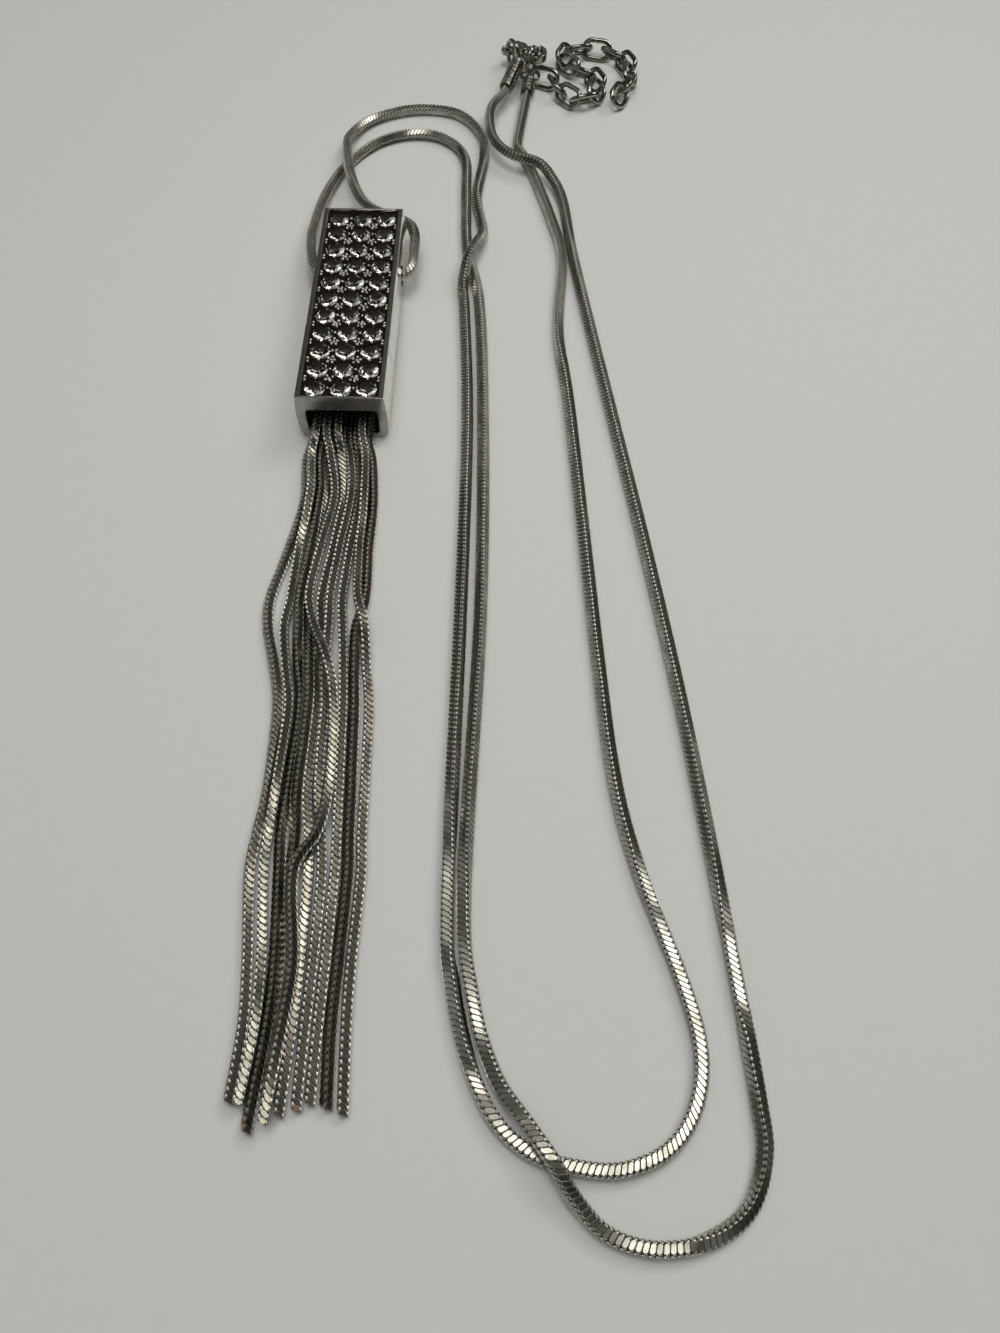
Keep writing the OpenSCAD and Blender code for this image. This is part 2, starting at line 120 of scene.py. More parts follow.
# First half of the chain: x, y and the height of the strand's underside
ROUTE_A = (
    (1.85, 89.45, 2.2), (0.7, 85.7, 1.95), (-1.2, 81.7, 2.1), (-1.65, 76.8, 2.1),
    (-0.6, 71.2, 2.05), (2.4, 67.1, 2.05), (7.4, 64.9, 1.9), (10.1, 61.8, 0.8),
    (12, 56, 0.1), (13.6, 41.4, 0), (18.6, 7.9, 0), (22.9, -20.5, 0),
    (26.3, -45.9, 0), (29.7, -77.5, 0), (30.9, -90.6, 0), (30.9, -95.6, 0),
    (28.9, -100.4, 0), (24.8, -103.2, 0), (19.6, -104.2, 0), (14.6, -103, 0),
    (11.2, -99.9, 0.7), (9.1, -96.7, 2), (6.4, -93.1, 1.3), (3, -88.3, 0.1),
    (0.4, -80.5, 0), (-1, -68, 0), (-0.2, -30, 0), (-0.8, 4, 0),
    (-2.2, 30.7, 0), (-4.6, 43.5, 0), (-5.3, 57, 0), (-6, 69, 0),
    (-10.2, 74.5, 0), (-16.1, 75.7, 0), (-22.1, 73.1, 0), (-27.2, 66.5, 0),
    (-30.1, 57.6, 0.5), (-31, 46, 1.9), (-30.7, 40.5, 2.6), (-30.2, 37.4, 3),
    (-29.7, 35, 3.1), (-28.8, 33.3, 3.1), (-26.9, 32.7, 3.1), (-24.6, 32.6, 3.1),
    (-21.6, 32.7, 3.1),
)

# Second half of the chain
ROUTE_B = (
    (5.35, 89.1, 0.55), (4.9, 84.9, 0.35), (4, 77, 0.05), (3.7, 72.4, 0),
    (5.2, 68.8, 0), (7.3, 61.8, 0), (10, 51.1, 0), (11.6, 41.4, 0),
    (10.8, 24, 0), (12.4, 7, 0), (15.5, -37.2, 0), (17.1, -54.5, 0),
    (19.6, -66.1, 0), (23.5, -77.6, 0), (25.2, -85.4, 0), (24.2, -91.2, 0),
    (21.2, -95.2, 0), (16.4, -97.2, 0), (11.6, -97.1, 0), (7, -95.9, 0),
    (3.1, -92.8, 0), (0.3, -87.4, 0), (-1.8, -79.5, 0), (-2.9, -69.6, 0),
    (-2.9, -30, 0), (-3.2, 4, 0), (-4.5, 28, 0), (-5, 33.6, 0.4),
    (-4.3, 38.6, 1.9), (-3, 43, 1.7), (-2.1, 48.3, 0.1), (-3.4, 57.8, 0),
    (-2.4, 69.2, 0), (-3.3, 76.3, 0), (-8, 82.3, 0), (-16, 83.4, 0),
    (-23.6, 80, 0.1), (-27.3, 73.6, 0.9), (-27.2, 67, 2), (-25.7, 59.4, 2.3),
    (-23, 52.4, 2.6), (-19.2, 48.4, 3.1), (-14.8, 46.1, 3.1), (-13.4, 43, 3.1),
    (-13.3, 39, 3.1), (-13.4, 35.2, 3.1), (-14.4, 33.3, 3.1), (-16.3, 32.7, 3.1),
    (-18.5, 32.6, 3.1), (-21.5, 32.7, 3.1),
)

# How each half lies: millimetres along it, its roll towards the left of its run, and
# how far its plates lean forwards on the left, in degrees
LIE_A = (
    (0, 40, 25), (18, 38, 25), (26, 20, 25), (40, 22, 25), (52, 40, 25), (80, 36, 25),
    (104, 34, 25), (114, 32, 25), (134, 30, 28), (150, 40, 30), (161, 38, 32), (168, 14, 38),
    (171, -7, 42), (178, -7, 42), (182, 24, 32), (194, 38, 22), (203, 16, 12), (207, -6, 10),
    (216, -6, 15), (219, -16, 28), (222, -2, 30), (226, -2, 30), (231, 14, 30), (239, 4, 30),
    (247, 7, 30), (254, 20, 30), (262, 42, 28), (276, 40, 28), (290, 30, 28), (306, 42, 28),
    (332, 30, 28), (352, 42, 28), (384, 40, 28), (396, 38, 28), (400, 28, 28), (403, 28, 28),
    (408, 42, 28), (417, 44, 28), (430, 42, 28), (461, 10, 28),
)
LIE_B = (
    (0, 42, 25), (20, 32, 25), (46, 24, 25), (60, 20, 25), (76, 38, 25), (96, 40, 25),
    (106, 45, 25), (118, 38, 28), (136, 36, 30), (150, 32, 32), (158, 20, 38), (163, -1, 42),
    (166, -6, 42), (183, -6, 40), (190, -6, 20), (206, -4, 18), (210, -13, 36), (216, 24, 38),
    (223, 26, 34),
    (228, 3, 30), (238, 5, 30), (246, 38, 28), (258, 40, 28), (276, 30, 28), (300, 42, 28),
    (326, 34, 28), (344, 20, 28), (362, 40, 28), (380, 14, 28), (398, 12, 28), (403, 31, 28),
    (409, 31, 28), (414, 14, 28), (430, 40, 28), (446, 36, 34), (464, 10, 28),
)

# Extender: the line that its links follow
ROUTE_E = (
    (6.9, 93.9), (10.5, 92.4), (11.9, 88.7), (14.7, 86), (18, 87.2), (19.4, 90.6),
    (18.2, 94), (15.4, 95.8), (12.8, 97.8), (12.1, 100.5), (13.5, 102.7), (16.8, 103.6),
    (20.6, 103), (23.8, 100.8), (25.5, 97.4), (25.3, 93.4), (23.8, 89.6), (22.2, 85.6),
)

# Tassel: where the stations lie along it, then for each strand its place across
# and its level in the heap at each station, its tip, its roll in degrees at the head,
# half-way, near the end and at the tip, and how much warmer than the others it shines
STATION_Y = (1, -4, -11, -20, -28, -33, -39, -45, -56, -62, -67, -77, -84)
STRANDS = (
    ((-26, -26.7, -26.2, -27.4, -28.9, -28.6, -27, -25.8, -25.6, -26.1, -26.3, -25.1, -24.6),
     (0, 0, 0, 0, 0, 0, 0, 0, 0, 0, 0, 0, 0), (-25, -92.1), (38, 40, 19, 19), 0.1),
    ((-25.5, -25.8, -25.2, -26, -26.1, -26.4, -25.4, -24.3, -24.3, -24.7, -24.6, -23.5, -23.1),
     (2, 2, 2, 0, 0, 0, 0, 0, 1, 0, 0, 0, 1), (-23.8, -92.4), (34, 0, 12, 5), 0.0),
    ((-24.6, -24.6, -24, -24.3, -24.8, -24.5, -23.9, -22.9, -23.1, -23.2, -22.8, -22, -22),
     (0, 1, 1, 1, 1, 1, 0, 0, 0, 0, 0, 0, 0), (-22.8, -94.8), (42, 44, 42, 30), 0.1),
    ((-23.2, -23.4, -22.9, -23.2, -23.7, -23.2, -22.4, -21.8, -21.8, -21.5, -21.4, -20.6, -20.6),
     (0, 0, 0, 0, 0, 0, 1, 1, 1, 0, 0, 0, 0), (-21.2, -92), (10, 44, 44, 45), 0.1),
    ((-24, -23, -21.8, -22.5, -23.3, -22.3, -19.7, -18.4, -17.9, -18.6, -20.9, -19.8, -20),
     (2, 2, 1, 2, 2, 2, 3, 2, 2, 2, 2, 2, 2), (-20.8, -94.3), (12, 10, 44, 3), 0.1),
    ((-22.3, -21.5, -20.6, -21.2, -21.9, -21.4, -21.3, -20.7, -20.6, -19.8, -19.3, -19.1, -19.2),
     (2, 1, 0, 0, 0, 0, 0, 0, 0, 0, 0, 0, 0), (-19.6, -93.5), (32, -2, 6, 19), 0.1),
    ((-21, -20.1, -19.4, -20.1, -20.6, -20.3, -20.2, -19.6, -19.2, -18.4, -17.8, -17.7, -17.8),
     (0, 1, 1, 1, 1, 1, 1, 1, 1, 0, 0, 0, 0), (-17.8, -92.8), (8, 10, 14, 16), 0.1),
    ((-19.6, -18.9, -18.3, -18.8, -19.1, -18.6, -17.9, -17.4, -16.8, -16.5, -16.3, -16.3, -16.4),
     (0, 0, 0, 0, 0, 0, 0, 0, 0, 0, 0, 0, 0), (-16.4, -92.3), (14, 8, 13, 15), 0.1),
    ((-18.7, -17.9, -17.4, -17.4, -16.9, -15.6, -14.9, -14.1, -13.7, -13.5, -13.2, -13.4, -13.3),
     (2, 2, 2, 1, 2, 2, 0, 0, 0, 0, 0, 0, 0), (-12.8, -93.2), (8, 14, 17, 17), 0.15),
    ((-17.9, -17, -16.3, -16.2, -16, -16.8, -16.5, -16, -15.4, -15.1, -14.8, -14.9, -15),
     (0, 0, 0, 0, 0, 0, 0, 0, 0, 0, 0, 0, 0), (-14.6, -92.6), (42, 42, 44, 45), 0.4),
)


def in_metres(rows: Iterable[Sequence[float]]) -> list[Vector]:
    """Turns rows of millimetres into points in metres.

    Args:
        rows: x and y, and z where a row has one.

    Returns:
        One point for each row.
    """
    return [Vector((row[0], row[1], row[2] if len(row) > 2 else 0)) * MM for row in rows]


def read_off(table: Sequence[tuple[float, float]], at: float) -> float:
    """Reads a value off a table of steadily growing stations.

    Args:
        table: rows of station and value.
        at: the station to read at.

    Returns:
        The value there, on a straight line between two rows.
    """
    for (here, low), (there, high) in zip(table, table[1:]):
        if at <= there:
            share = max(0.0, (at - here) / (there - here))
            return low + (high - low) * share
    return table[-1][1]


# Hand tools


def alone(piece: Piece) -> None:
    """Makes a piece the active object and the only selected one.

    Args:
        piece: the piece.
    """
    bpy.ops.object.select_all(action="DESELECT")
    piece.select_set(True)
    bpy.context.view_layer.objects.active = piece


@contextmanager
def on_bench(piece: Piece) -> Iterator[None]:
    """Holds a piece in edit mode with nothing selected, and lets it go afterwards.

    Args:
        piece: the piece.

    Yields:
        Nothing, while the piece is on the bench.
    """
    alone(piece)
    bpy.ops.object.mode_set(mode="EDIT")
    bpy.ops.mesh.select_all(action="DESELECT")
    yield
    bpy.ops.object.mode_set(mode="OBJECT")


def pick_faces(piece: Piece, test: PairTest) -> None:
    """Selects the faces whose centre and normal pass a test.

    Args:
        piece: the piece, on the bench.
        test: takes the centre and the normal of a face.
    """
    bpy.ops.mesh.select_mode(type="FACE")
    mesh = bmesh.from_edit_mesh(piece.data)
    mesh.normal_update()
    for face in mesh.faces:
        face.select_set(test(face.calc_center_median(), face.normal))
    bmesh.update_edit_mesh(piece.data)


def pick_edges(piece: Piece, test: PairTest) -> None:
    """Selects the edges whose two ends pass a test.

    Args:
        piece: the piece, on the bench.
        test: takes the places of an edge's two ends.
    """
    bpy.ops.mesh.select_mode(type="EDGE")
    mesh = bmesh.from_edit_mesh(piece.data)
    for edge in mesh.edges:
        edge.select_set(False)
    for edge in mesh.edges:
        if test(edge.verts[0].co, edge.verts[1].co):
            edge.select_set(True)
    bmesh.update_edit_mesh(piece.data)


def pick_points(piece: Piece, test: Callable[[Vector], bool]) -> None:
    """Selects the corners whose place passes a test.

    Args:
        piece: the piece, on the bench.
        test: takes a corner's place.
    """
    bpy.ops.mesh.select_mode(type="VERT")
    mesh = bmesh.from_edit_mesh(piece.data)
    for vert in mesh.verts:
        vert.select_set(test(vert.co))
    mesh.select_flush_mode()
    bmesh.update_edit_mesh(piece.data)


def saw(at: Sequence[float], normal: Sequence[float], clear: bool = False) -> None:
    """Cuts all of the piece on the bench along a plane.

    Args:
        at: a point of the plane.
        normal: the plane's direction.
        clear: whether what lies outside goes, and the cut is closed.
    """
    bpy.ops.mesh.select_all(action="SELECT")
    bpy.ops.mesh.bisect(
        plane_co=at, plane_no=normal, use_fill=clear, clear_outer=clear, threshold=TIDY
    )


def work(piece: Piece, kind: str, **settings: Any) -> None:
    """Adds a modifier with its settings and applies it.

    Args:
        piece: the piece.
        kind: the modifier's type.
        settings: the modifier's own settings.
    """
    alone(piece)
    modifier = piece.modifiers.new(kind.lower(), kind)
    for name, value in settings.items():
        setattr(modifier, name, value)
    bpy.ops.object.modifier_apply(modifier=modifier.name)


def carve(piece: Piece, tool: Piece) -> None:
    """Takes a tool's shape out of a piece and puts the tool away."""
    work(piece, "BOOLEAN", operation="DIFFERENCE", object=tool, solver="EXACT")
    scrap(tool)


def scrap(piece: Piece) -> None:
    """Deletes an object that has served its turn."""
    bpy.data.objects.remove(piece, do_unlink=True)


def added(add: Callable[..., Any], **settings: Any) -> Piece:
    """Adds a primitive while nothing else is selected.

    Args:
        add: the operator that adds it.
        settings: the operator's own settings.

    Returns:
        The new piece.
    """
    bpy.ops.object.select_all(action="DESELECT")
    add(**settings)
    return bpy.context.object


def rod(radius: float, depth: float, sides: int) -> Piece:
    """Adds an upright rod round the origin and returns it."""
    return added(
        bpy.ops.mesh.primitive_cylinder_add, vertices=sides, radius=radius, depth=depth
    )


def block(low: Sequence[float], high: Sequence[float]) -> Piece:
    """Adds a block between two corners, its place in its mesh.

    Args:
        low: its lowest corner.
        high: its highest corner.

    Returns:
        The block.
    """
    middle = [(a + b) / 2 for a, b in zip(low, high)]
    piece = added(bpy.ops.mesh.primitive_cube_add, size=1, location=middle)
    piece.scale = [b - a for a, b in zip(low, high)]
    bpy.ops.object.transform_apply(location=True, rotation=True, scale=True)
    return piece


def shown(thing: Piece) -> Piece:
    """Brings a new object into the scene and returns it."""
    bpy.context.scene.collection.objects.link(thing)
    return thing


def copied(piece: Piece, place: Matrix) -> Piece:
    """Copies a piece with a mesh of its own, put in place in that mesh.

    Args:
        piece: the piece to copy.
        place: the turn and the move that the copy's mesh gets.

    Returns:
        The copy.
    """
    twin = piece.copy()
    twin.data = piece.data.copy()
    twin.data.transform(place)
    return shown(twin)


def put_at(spot: Sequence[float], *turns: tuple[float, str]) -> Matrix:
    """Gives the matrix that turns a piece about the origin and then moves it.

    Args:
        spot: where the origin goes.
        turns: angle in radians and axis of each turn, the last one made first.

    Returns:
        The matrix.
    """
    place = Matrix.Translation(spot)
    for angle, axis in turns:
        place = place @ Matrix.Rotation(angle, 4, axis)
    return place


def joined(pieces: Sequence[Piece]) -> Piece:
    """Makes several pieces one.

    Args:
        pieces: the pieces, the first of which takes in the others.

    Returns:
        The one piece.
    """
    bpy.ops.object.select_all(action="DESELECT")
    for piece in pieces:
        piece.select_set(True)
    bpy.context.view_layer.objects.active = pieces[0]
    bpy.ops.object.join()
    return pieces[0]


def face_outwards(piece: Piece) -> None:
    """Merges the doubles of a closed shape and turns its faces outwards.

    Args:
        piece: the closed shape.
    """
    with on_bench(piece):
        bpy.ops.mesh.select_all(action="SELECT")
        bpy.ops.mesh.remove_doubles(threshold=TIDY)
        bpy.ops.mesh.normals_make_consistent(inside=False)


def smoothed(piece: Piece, degrees: float) -> None:
    """Shades a piece smooth across every edge flatter than an angle."""
    alone(piece)
    bpy.ops.object.shade_smooth_by_angle(angle=math.radians(degrees))


def triangles(piece: Piece) -> int:
    """Counts the triangles of a piece."""
    return sum(len(face.vertices) - 2 for face in piece.data.polygons)


def square_reach(at: Vector) -> float:
    """Gives how far something reaches from the X axis, measured along Y or Z."""
    return max(abs(at.y), abs(at.z))


def mark(piece: Piece, name: str, value: Callable[[Vector], float]) -> None:
    """Marks each corner of a piece with a value that its finish reads.

    Args:
        piece: the piece.
        name: the name of the mesh attribute.
        value: takes a corner's place.
    """
    marks = piece.data.attributes.new(name, "FLOAT", "POINT")
    for vert, spot in zip(piece.data.vertices, marks.data):
        spot.value = value(vert.co)


def hand_over(
    piece: Piece,
    name: str,
    finishes: Sequence[Material],
    stands_for: Sequence[str] = (),
    body: Body = Body.NECKLACE,
) -> None:
    """Names and dresses a finished piece and puts it on its body.

    Args:
        piece: the finished piece, its place in its mesh.
        name: its plain name.
        finishes: its materials, in the order of its faces' indices.
        stands_for: the solids that it is shown in place of.
        body: the body that it rides on.
    """
    piece.name = name
    piece.data.name = name
    piece.data.materials.clear()
    for finish in finishes:
        piece.data.materials.append(finish)
    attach(piece, body.value)
    if stands_for:
        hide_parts(*stands_for)
    log.info("%s: %d triangles", name, triangles(piece))


# Shader tools


class Signal:
    """A number that varies over a surface and takes part in Python arithmetic."""

    def __init__(self, bench: "Bench", socket: Socket) -> None:
        """Wraps one output socket of a bench's node tree."""
        self.bench = bench
        self.socket = socket

    def _with(self, operation: str, first: Any, second: Any) -> "Signal":
        """Adds a Math node for an operation on two numbers or signals.

        Args:
            operation: the node's operation.
            first: a number or a signal.
            second: a number or a signal.

        Returns:
            What comes out of the node.
        """
        node = self.bench.add(
            "ShaderNodeMath", {"operation": operation}, {0: first, 1: second}
        )
        return Signal(self.bench, node.outputs[0])

    def __add__(self, other: Any) -> "Signal":
        """Adds."""
        return self._with("ADD", self, other)

    __radd__ = __add__

    def __mul__(self, other: Any) -> "Signal":
        """Multiplies."""
        return self._with("MULTIPLY", self, other)

    __rmul__ = __mul__


class Bench:
    """The node tree of one material, with one way of adding a node to it."""

    def __init__(self, name: str) -> None:
        """Starts an empty material.

        Args:
            name: the material's name.
        """
        self.material = bpy.data.materials.new(name)
        self.material.use_nodes = True
        self.tree = self.material.node_tree
        self.tree.nodes.clear()

    def add(
        self,
        kind: str,
        settings: dict[str, Any] | None = None,
        inputs: dict[str | int, Any] | None = None,
    ) -> bpy.types.Node:
        """Adds a node.

        Args:
            kind: the node's type.
            settings: its own settings, which are set first.
            inputs: a value, a signal or an output socket for each input.

        Returns:
            The node.
        """
        node = self.tree.nodes.new(kind)
        for name, value in (settings or {}).items():
            setattr(node, name, value)
        for name, value in (inputs or {}).items():
            socket = node.inputs[name]
            if isinstance(value, Signal):
                value = value.socket
            if isinstance(value, Socket):
                self.tree.links.new(value, socket)
            else:
                socket.default_value = value
        return node

    def places(self, scale: Point) -> Socket:
        """Gives the place on the object, stretched by a scale.

        Args:
            scale: how much along each axis.

        Returns:
            The socket of the place.
        """
        where = self.add("ShaderNodeTexCoord").outputs["Object"]
        return self.add(
            "ShaderNodeMapping", {}, {"Vector": where, "Scale": scale}
        ).outputs["Vector"]

    def clouds(
        self, per_mm: float, detail: float = 3.0, stretch: Point = (1.0, 1.0, 1.0)
    ) -> Signal:
        """Gives soft noise.

        Args:
            per_mm: how many clouds there are to a millimetre.
            detail: how many finer layers they have.
            stretch: how much they are squeezed along each axis.

        Returns:
            The noise, from zero to one.
        """
        node = self.add(
            "ShaderNodeTexNoise",
            {},
            {"Vector": self.places(stretch), "Scale": per_mm / MM, "Detail": detail},
        )
        return Signal(self, node.outputs[0])

    def marked(self, name: str) -> Signal:
        """Gives the value that a piece is marked with."""
        node = self.add("ShaderNodeAttribute", {"attribute_name": name})
        return Signal(self, node.outputs["Fac"])

    def spread(self, signal: Signal, low: float, high: float) -> Signal:
        """Stretches what lies between two values over zero to one, and clips the rest.

        Args:
            signal: what is stretched.
            low: the value that becomes zero.
            high: the value that becomes one.

        Returns:
            The stretched signal.
        """
        node = self.add(
            "ShaderNodeMapRange",
            {"clamp": True},
            {"Value": signal, "From Min": low, "From Max": high},
        )
        return Signal(self, node.outputs[0])

    def blend(self, share: Signal, first: Any, second: Any) -> Socket:
        """Mixes two colours by a share.

        Args:
            share: how much of the second colour shows.
            first: a colour or the socket of one.
            second: a colour or the socket of one.

        Returns:
            The socket of the mixed colour.
        """
        node = self.add("ShaderNodeMix", {"data_type": "RGBA"})
        colours = [socket for socket in node.inputs if socket.type == "RGBA"]
        self.tree.links.new(share.socket, node.inputs[0])
        for socket, colour in zip(colours, (first, second)):
            if isinstance(colour, Socket):
                self.tree.links.new(colour, socket)
            else:
                socket.default_value = (*colour, 1.0)
        return [socket for socket in node.outputs if socket.type == "RGBA"][0]

    def relief(self, height: Signal, depth: float) -> Socket:
        """Gives a normal bent by a relief, its depth in metres."""
        node = self.add("ShaderNodeBump", {}, {"Height": height, "Distance": depth})
        return node.outputs["Normal"]

    def surface(self, inputs: dict[str, Any]) -> Material:
        """Closes the tree with a surface shader.

        Args:
            inputs: what goes into the shader's sockets.

        Returns:
            The material.
        """
        shader = self.add("ShaderNodeBsdfPrincipled", {}, inputs)
        self.add("ShaderNodeOutputMaterial", {}, {"Surface": shader.outputs["BSDF"]})
        return self.material


@dataclass(frozen=True)
class SilverPlate:
    """Silver-toned plate: bright where it is rubbed, darker where it isn't, and near black where
    a piece is marked with painted shade, with patina as well round the case's stones.
    """

    name: str
    bright: Colour = (0.76, 0.74, 0.69)
    dull: Colour = (0.48, 0.46, 0.41)
    # Near-black colour mixed in where a piece is marked: painted shade in the chain's gaps and in
    # the case, with patina as well round the case's stones
    painted_shade_and_tarnish: Colour = (0.02, 0.017, 0.013)
    metallic: float = 1.0
    roughness: float = 0.12
    roughness_play: float = 0.1
    hollow_roughness: float = 0.4
    clouds_per_mm: float = 0.5
    scratches_per_mm: float = 6.0
    scratch_depth: float = 0.0008 * MM
    scratch_detail: float = 2.0
    stretch: Point = (1.0, 0.12, 1.0)
    wear: Span = (0.35, 0.65)

    def skin(self, bench: Bench, wear: Signal) -> Socket:
        """Gives the colour of the plate before the painted shade and patina are mixed in."""
        return bench.blend(wear, self.bright, self.dull)

    def rubbed(self, roughness: Signal, bench: Bench) -> Signal:
        """Gives the final roughness; plain plate keeps what it is given."""
        return roughness

    def material(self) -> Material:
        """Builds the material.

        Returns:
            The material.
        """
        bench = Bench(self.name)
        wear = bench.spread(bench.clouds(self.clouds_per_mm), *self.wear)
        fine = bench.clouds(self.scratches_per_mm, self.scratch_detail, self.stretch)
        # The marked share of painted shade and patina, which darkens the colour and roughens it
        shade_share = bench.marked("painted_shade_and_tarnish")
        rough = self.roughness + self.roughness_play * wear * fine + self.hollow_roughness * shade_share
        return bench.surface({
            "Base Color": bench.blend(shade_share, self.skin(bench, wear), self.painted_shade_and_tarnish),
            "Metallic": self.metallic,
            "Roughness": self.rubbed(rough, bench),
            "Normal": bench.relief(fine, self.scratch_depth),
        })


@dataclass(frozen=True)
class SmokedPlate(SilverPlate):
    """Plate on the small parts, smoked dark so that its glints stand out."""

    bright: Colour = (0.46, 0.445, 0.40)
    dull: Colour = (0.19, 0.18, 0.15)
    roughness: float = 0.11
    clouds_per_mm: float = 0.8


@dataclass(frozen=True)
class ChainPlate(SilverPlate):
    """Plate on a chain: beads coloured near white as a painted highlight and more satin, and a
    copper shine that each strand has its share of.
    """

    copper: Colour = (0.62, 0.42, 0.30)
    # Near-white colour of the corner beads: a painted highlight that makes their rows of dots
    # shine
    bead: Colour = (0.95, 0.93, 0.86)
    copper_clouds_per_mm: float = 0.25
    bead_roughness: float = 0.2

    def skin(self, bench: Bench, wear: Signal) -> Socket:
        """Gives the colour of the plate before the painted shade is mixed in.

        Args:
            bench: the material's bench.
            wear: where the plate is dull.

        Returns:
            The socket of the colour.
        """
        plain = bench.blend(wear, self.bright, self.dull)
        warmth = bench.marked("warmth") * bench.clouds(self.copper_clouds_per_mm)
        warm = bench.blend(warmth, plain, self.copper)
        # The beads take the near-white painted highlight
        return bench.blend(bench.marked("bead"), warm, self.bead)

    def rubbed(self, roughness: Signal, bench: Bench) -> Signal:
        """Gives the final roughness, with the beads more satin than the plates."""
        return roughness + self.bead_roughness * bench.marked("bead")


@dataclass(frozen=True)
class StoneGlass:
    """Clear cut glass."""

    name: str = "cut_glass"
    tint: Colour = (0.94, 0.89, 0.80)
    clear: Colour = (1.0, 0.98, 0.95)
    clouds_per_mm: float = 1.2
    roughness: float = 0.01
    roughness_play: float = 0.02
    index: float = 1.56

    def material(self) -> Material:
        """Builds the material.

        Returns:
            The material.
        """
        bench = Bench(self.name)
        polish = bench.clouds(self.clouds_per_mm)
        return bench.surface({
            "Base Color": bench.blend(polish, self.tint, self.clear),
            "Roughness": self.roughness + self.roughness_play * polish,
            "IOR": self.index,
            "Transmission Weight": 1.0,
        })


@dataclass(frozen=True)
class StoneFoil:
    """The foil behind a stone: brown in some and wine red in others, with smoky patches."""

    name: str = "stone_foil"
    brown: Colour = (0.26, 0.19, 0.12)
    wine: Colour = (0.34, 0.085, 0.085)
    smoke: Colour = (0.38, 0.37, 0.28)
    wine_tones: Span = (0.45, 0.75)
    patches_per_mm: float = 0.7
    patch_edge: Span = (0.45, 0.6)
    roughness: float = 0.2
    roughness_play: float = 0.12

    def material(self) -> Material:
        """Builds the material.

        Returns:
            The material.
        """
        bench = Bench(self.name)
        tone = bench.marked("tone")
        dark = bench.blend(bench.spread(tone, *self.wine_tones), self.brown, self.wine)
        patches = bench.spread(bench.clouds(self.patches_per_mm), *self.patch_edge)
        return bench.surface({
            "Base Color": bench.blend(patches, dark, self.smoke),
            "Metallic": 1.0,
            "Roughness": self.roughness + self.roughness_play * patches,
        })


@dataclass(frozen=True)
class PaleFloor:
    """The matt, plain pale floor under the necklace."""

    name: str = "paper"
    light: Colour = (0.70, 0.70, 0.685)
    shade: Colour = (0.665, 0.668, 0.655)
    fibres_per_mm: float = 0.6
    fibre_detail: float = 6.0
    fibre_depth: float = 0.02 * MM
    roughness: float = 0.75
    gloss: float = 0.25

    def material(self) -> Material:
        """Builds the material.

        Returns:
            The material.
        """
        bench = Bench(self.name)
        fibres = bench.clouds(self.fibres_per_mm, self.fibre_detail)
        return bench.surface({
            "Base Color": bench.blend(fibres, self.light, self.shade),
            "Roughness": self.roughness,
            "Specular IOR Level": self.gloss,
            "Normal": bench.relief(fibres, self.fibre_depth),
        })


# Chains


def smooth_line(points: Sequence[Vector], steps: int) -> list[Vector]:
    """Draws a smooth line through points, which ends just before the last of them.

    Args:
        points: the points of the line.
        steps: how many places it has from one point to the next.

    Returns:
        The places along the line.
    """
    last = len(points) - 1
    line = []
    for i in range(last):
        a, b, c, d = (points[min(last, max(0, i + k))] for k in (-1, 0, 1, 2))
        for step in range(steps):
            t = step / steps
            line.append(
                0.5 * (2 * b + (c - a) * t + (2 * a - 5 * b + 4 * c - d) * t**2
                       + (3 * b - a - 3 * c + d) * t**3)
            )
    return line


class Strand:
    """A smooth line through the points of a route, measured along its length."""

    STEPS = 12

    def __init__(self, points: Sequence[Vector]) -> None:
        """Runs the line through the points and measures it.

        Args:
            points: the points of the route.
        """
        self.line = [*smooth_line(points, self.STEPS), points[-1]]
        self.reach = [0.0]
        for here, there in zip(self.line, self.line[1:]):
            self.reach.append(self.reach[-1] + (there - here).length)

    @property
    def length(self) -> float:
        """The length of the line."""
        return self.reach[-1]

    def guide(self, roll: Profile) -> Piece:
        """Makes the curve that links are bent along.

        Args:
            roll: the angle in degrees that the strand is rolled by towards its left,
                at a length along it in metres.

        Returns:
            The curve's object.
        """
        data = bpy.data.curves.new("guide", "CURVE")
        data.dimensions = "3D"
        data.twist_mode = "Z_UP"
        spline = data.splines.new("POLY")
        spline.points.add(len(self.line) - 1)
        for point, place, at in zip(spline.points, self.line, self.reach):
            point.co = (*place, 1.0)
            point.tilt = -math.radians(roll(at))
        return shown(bpy.data.objects.new("guide", data))


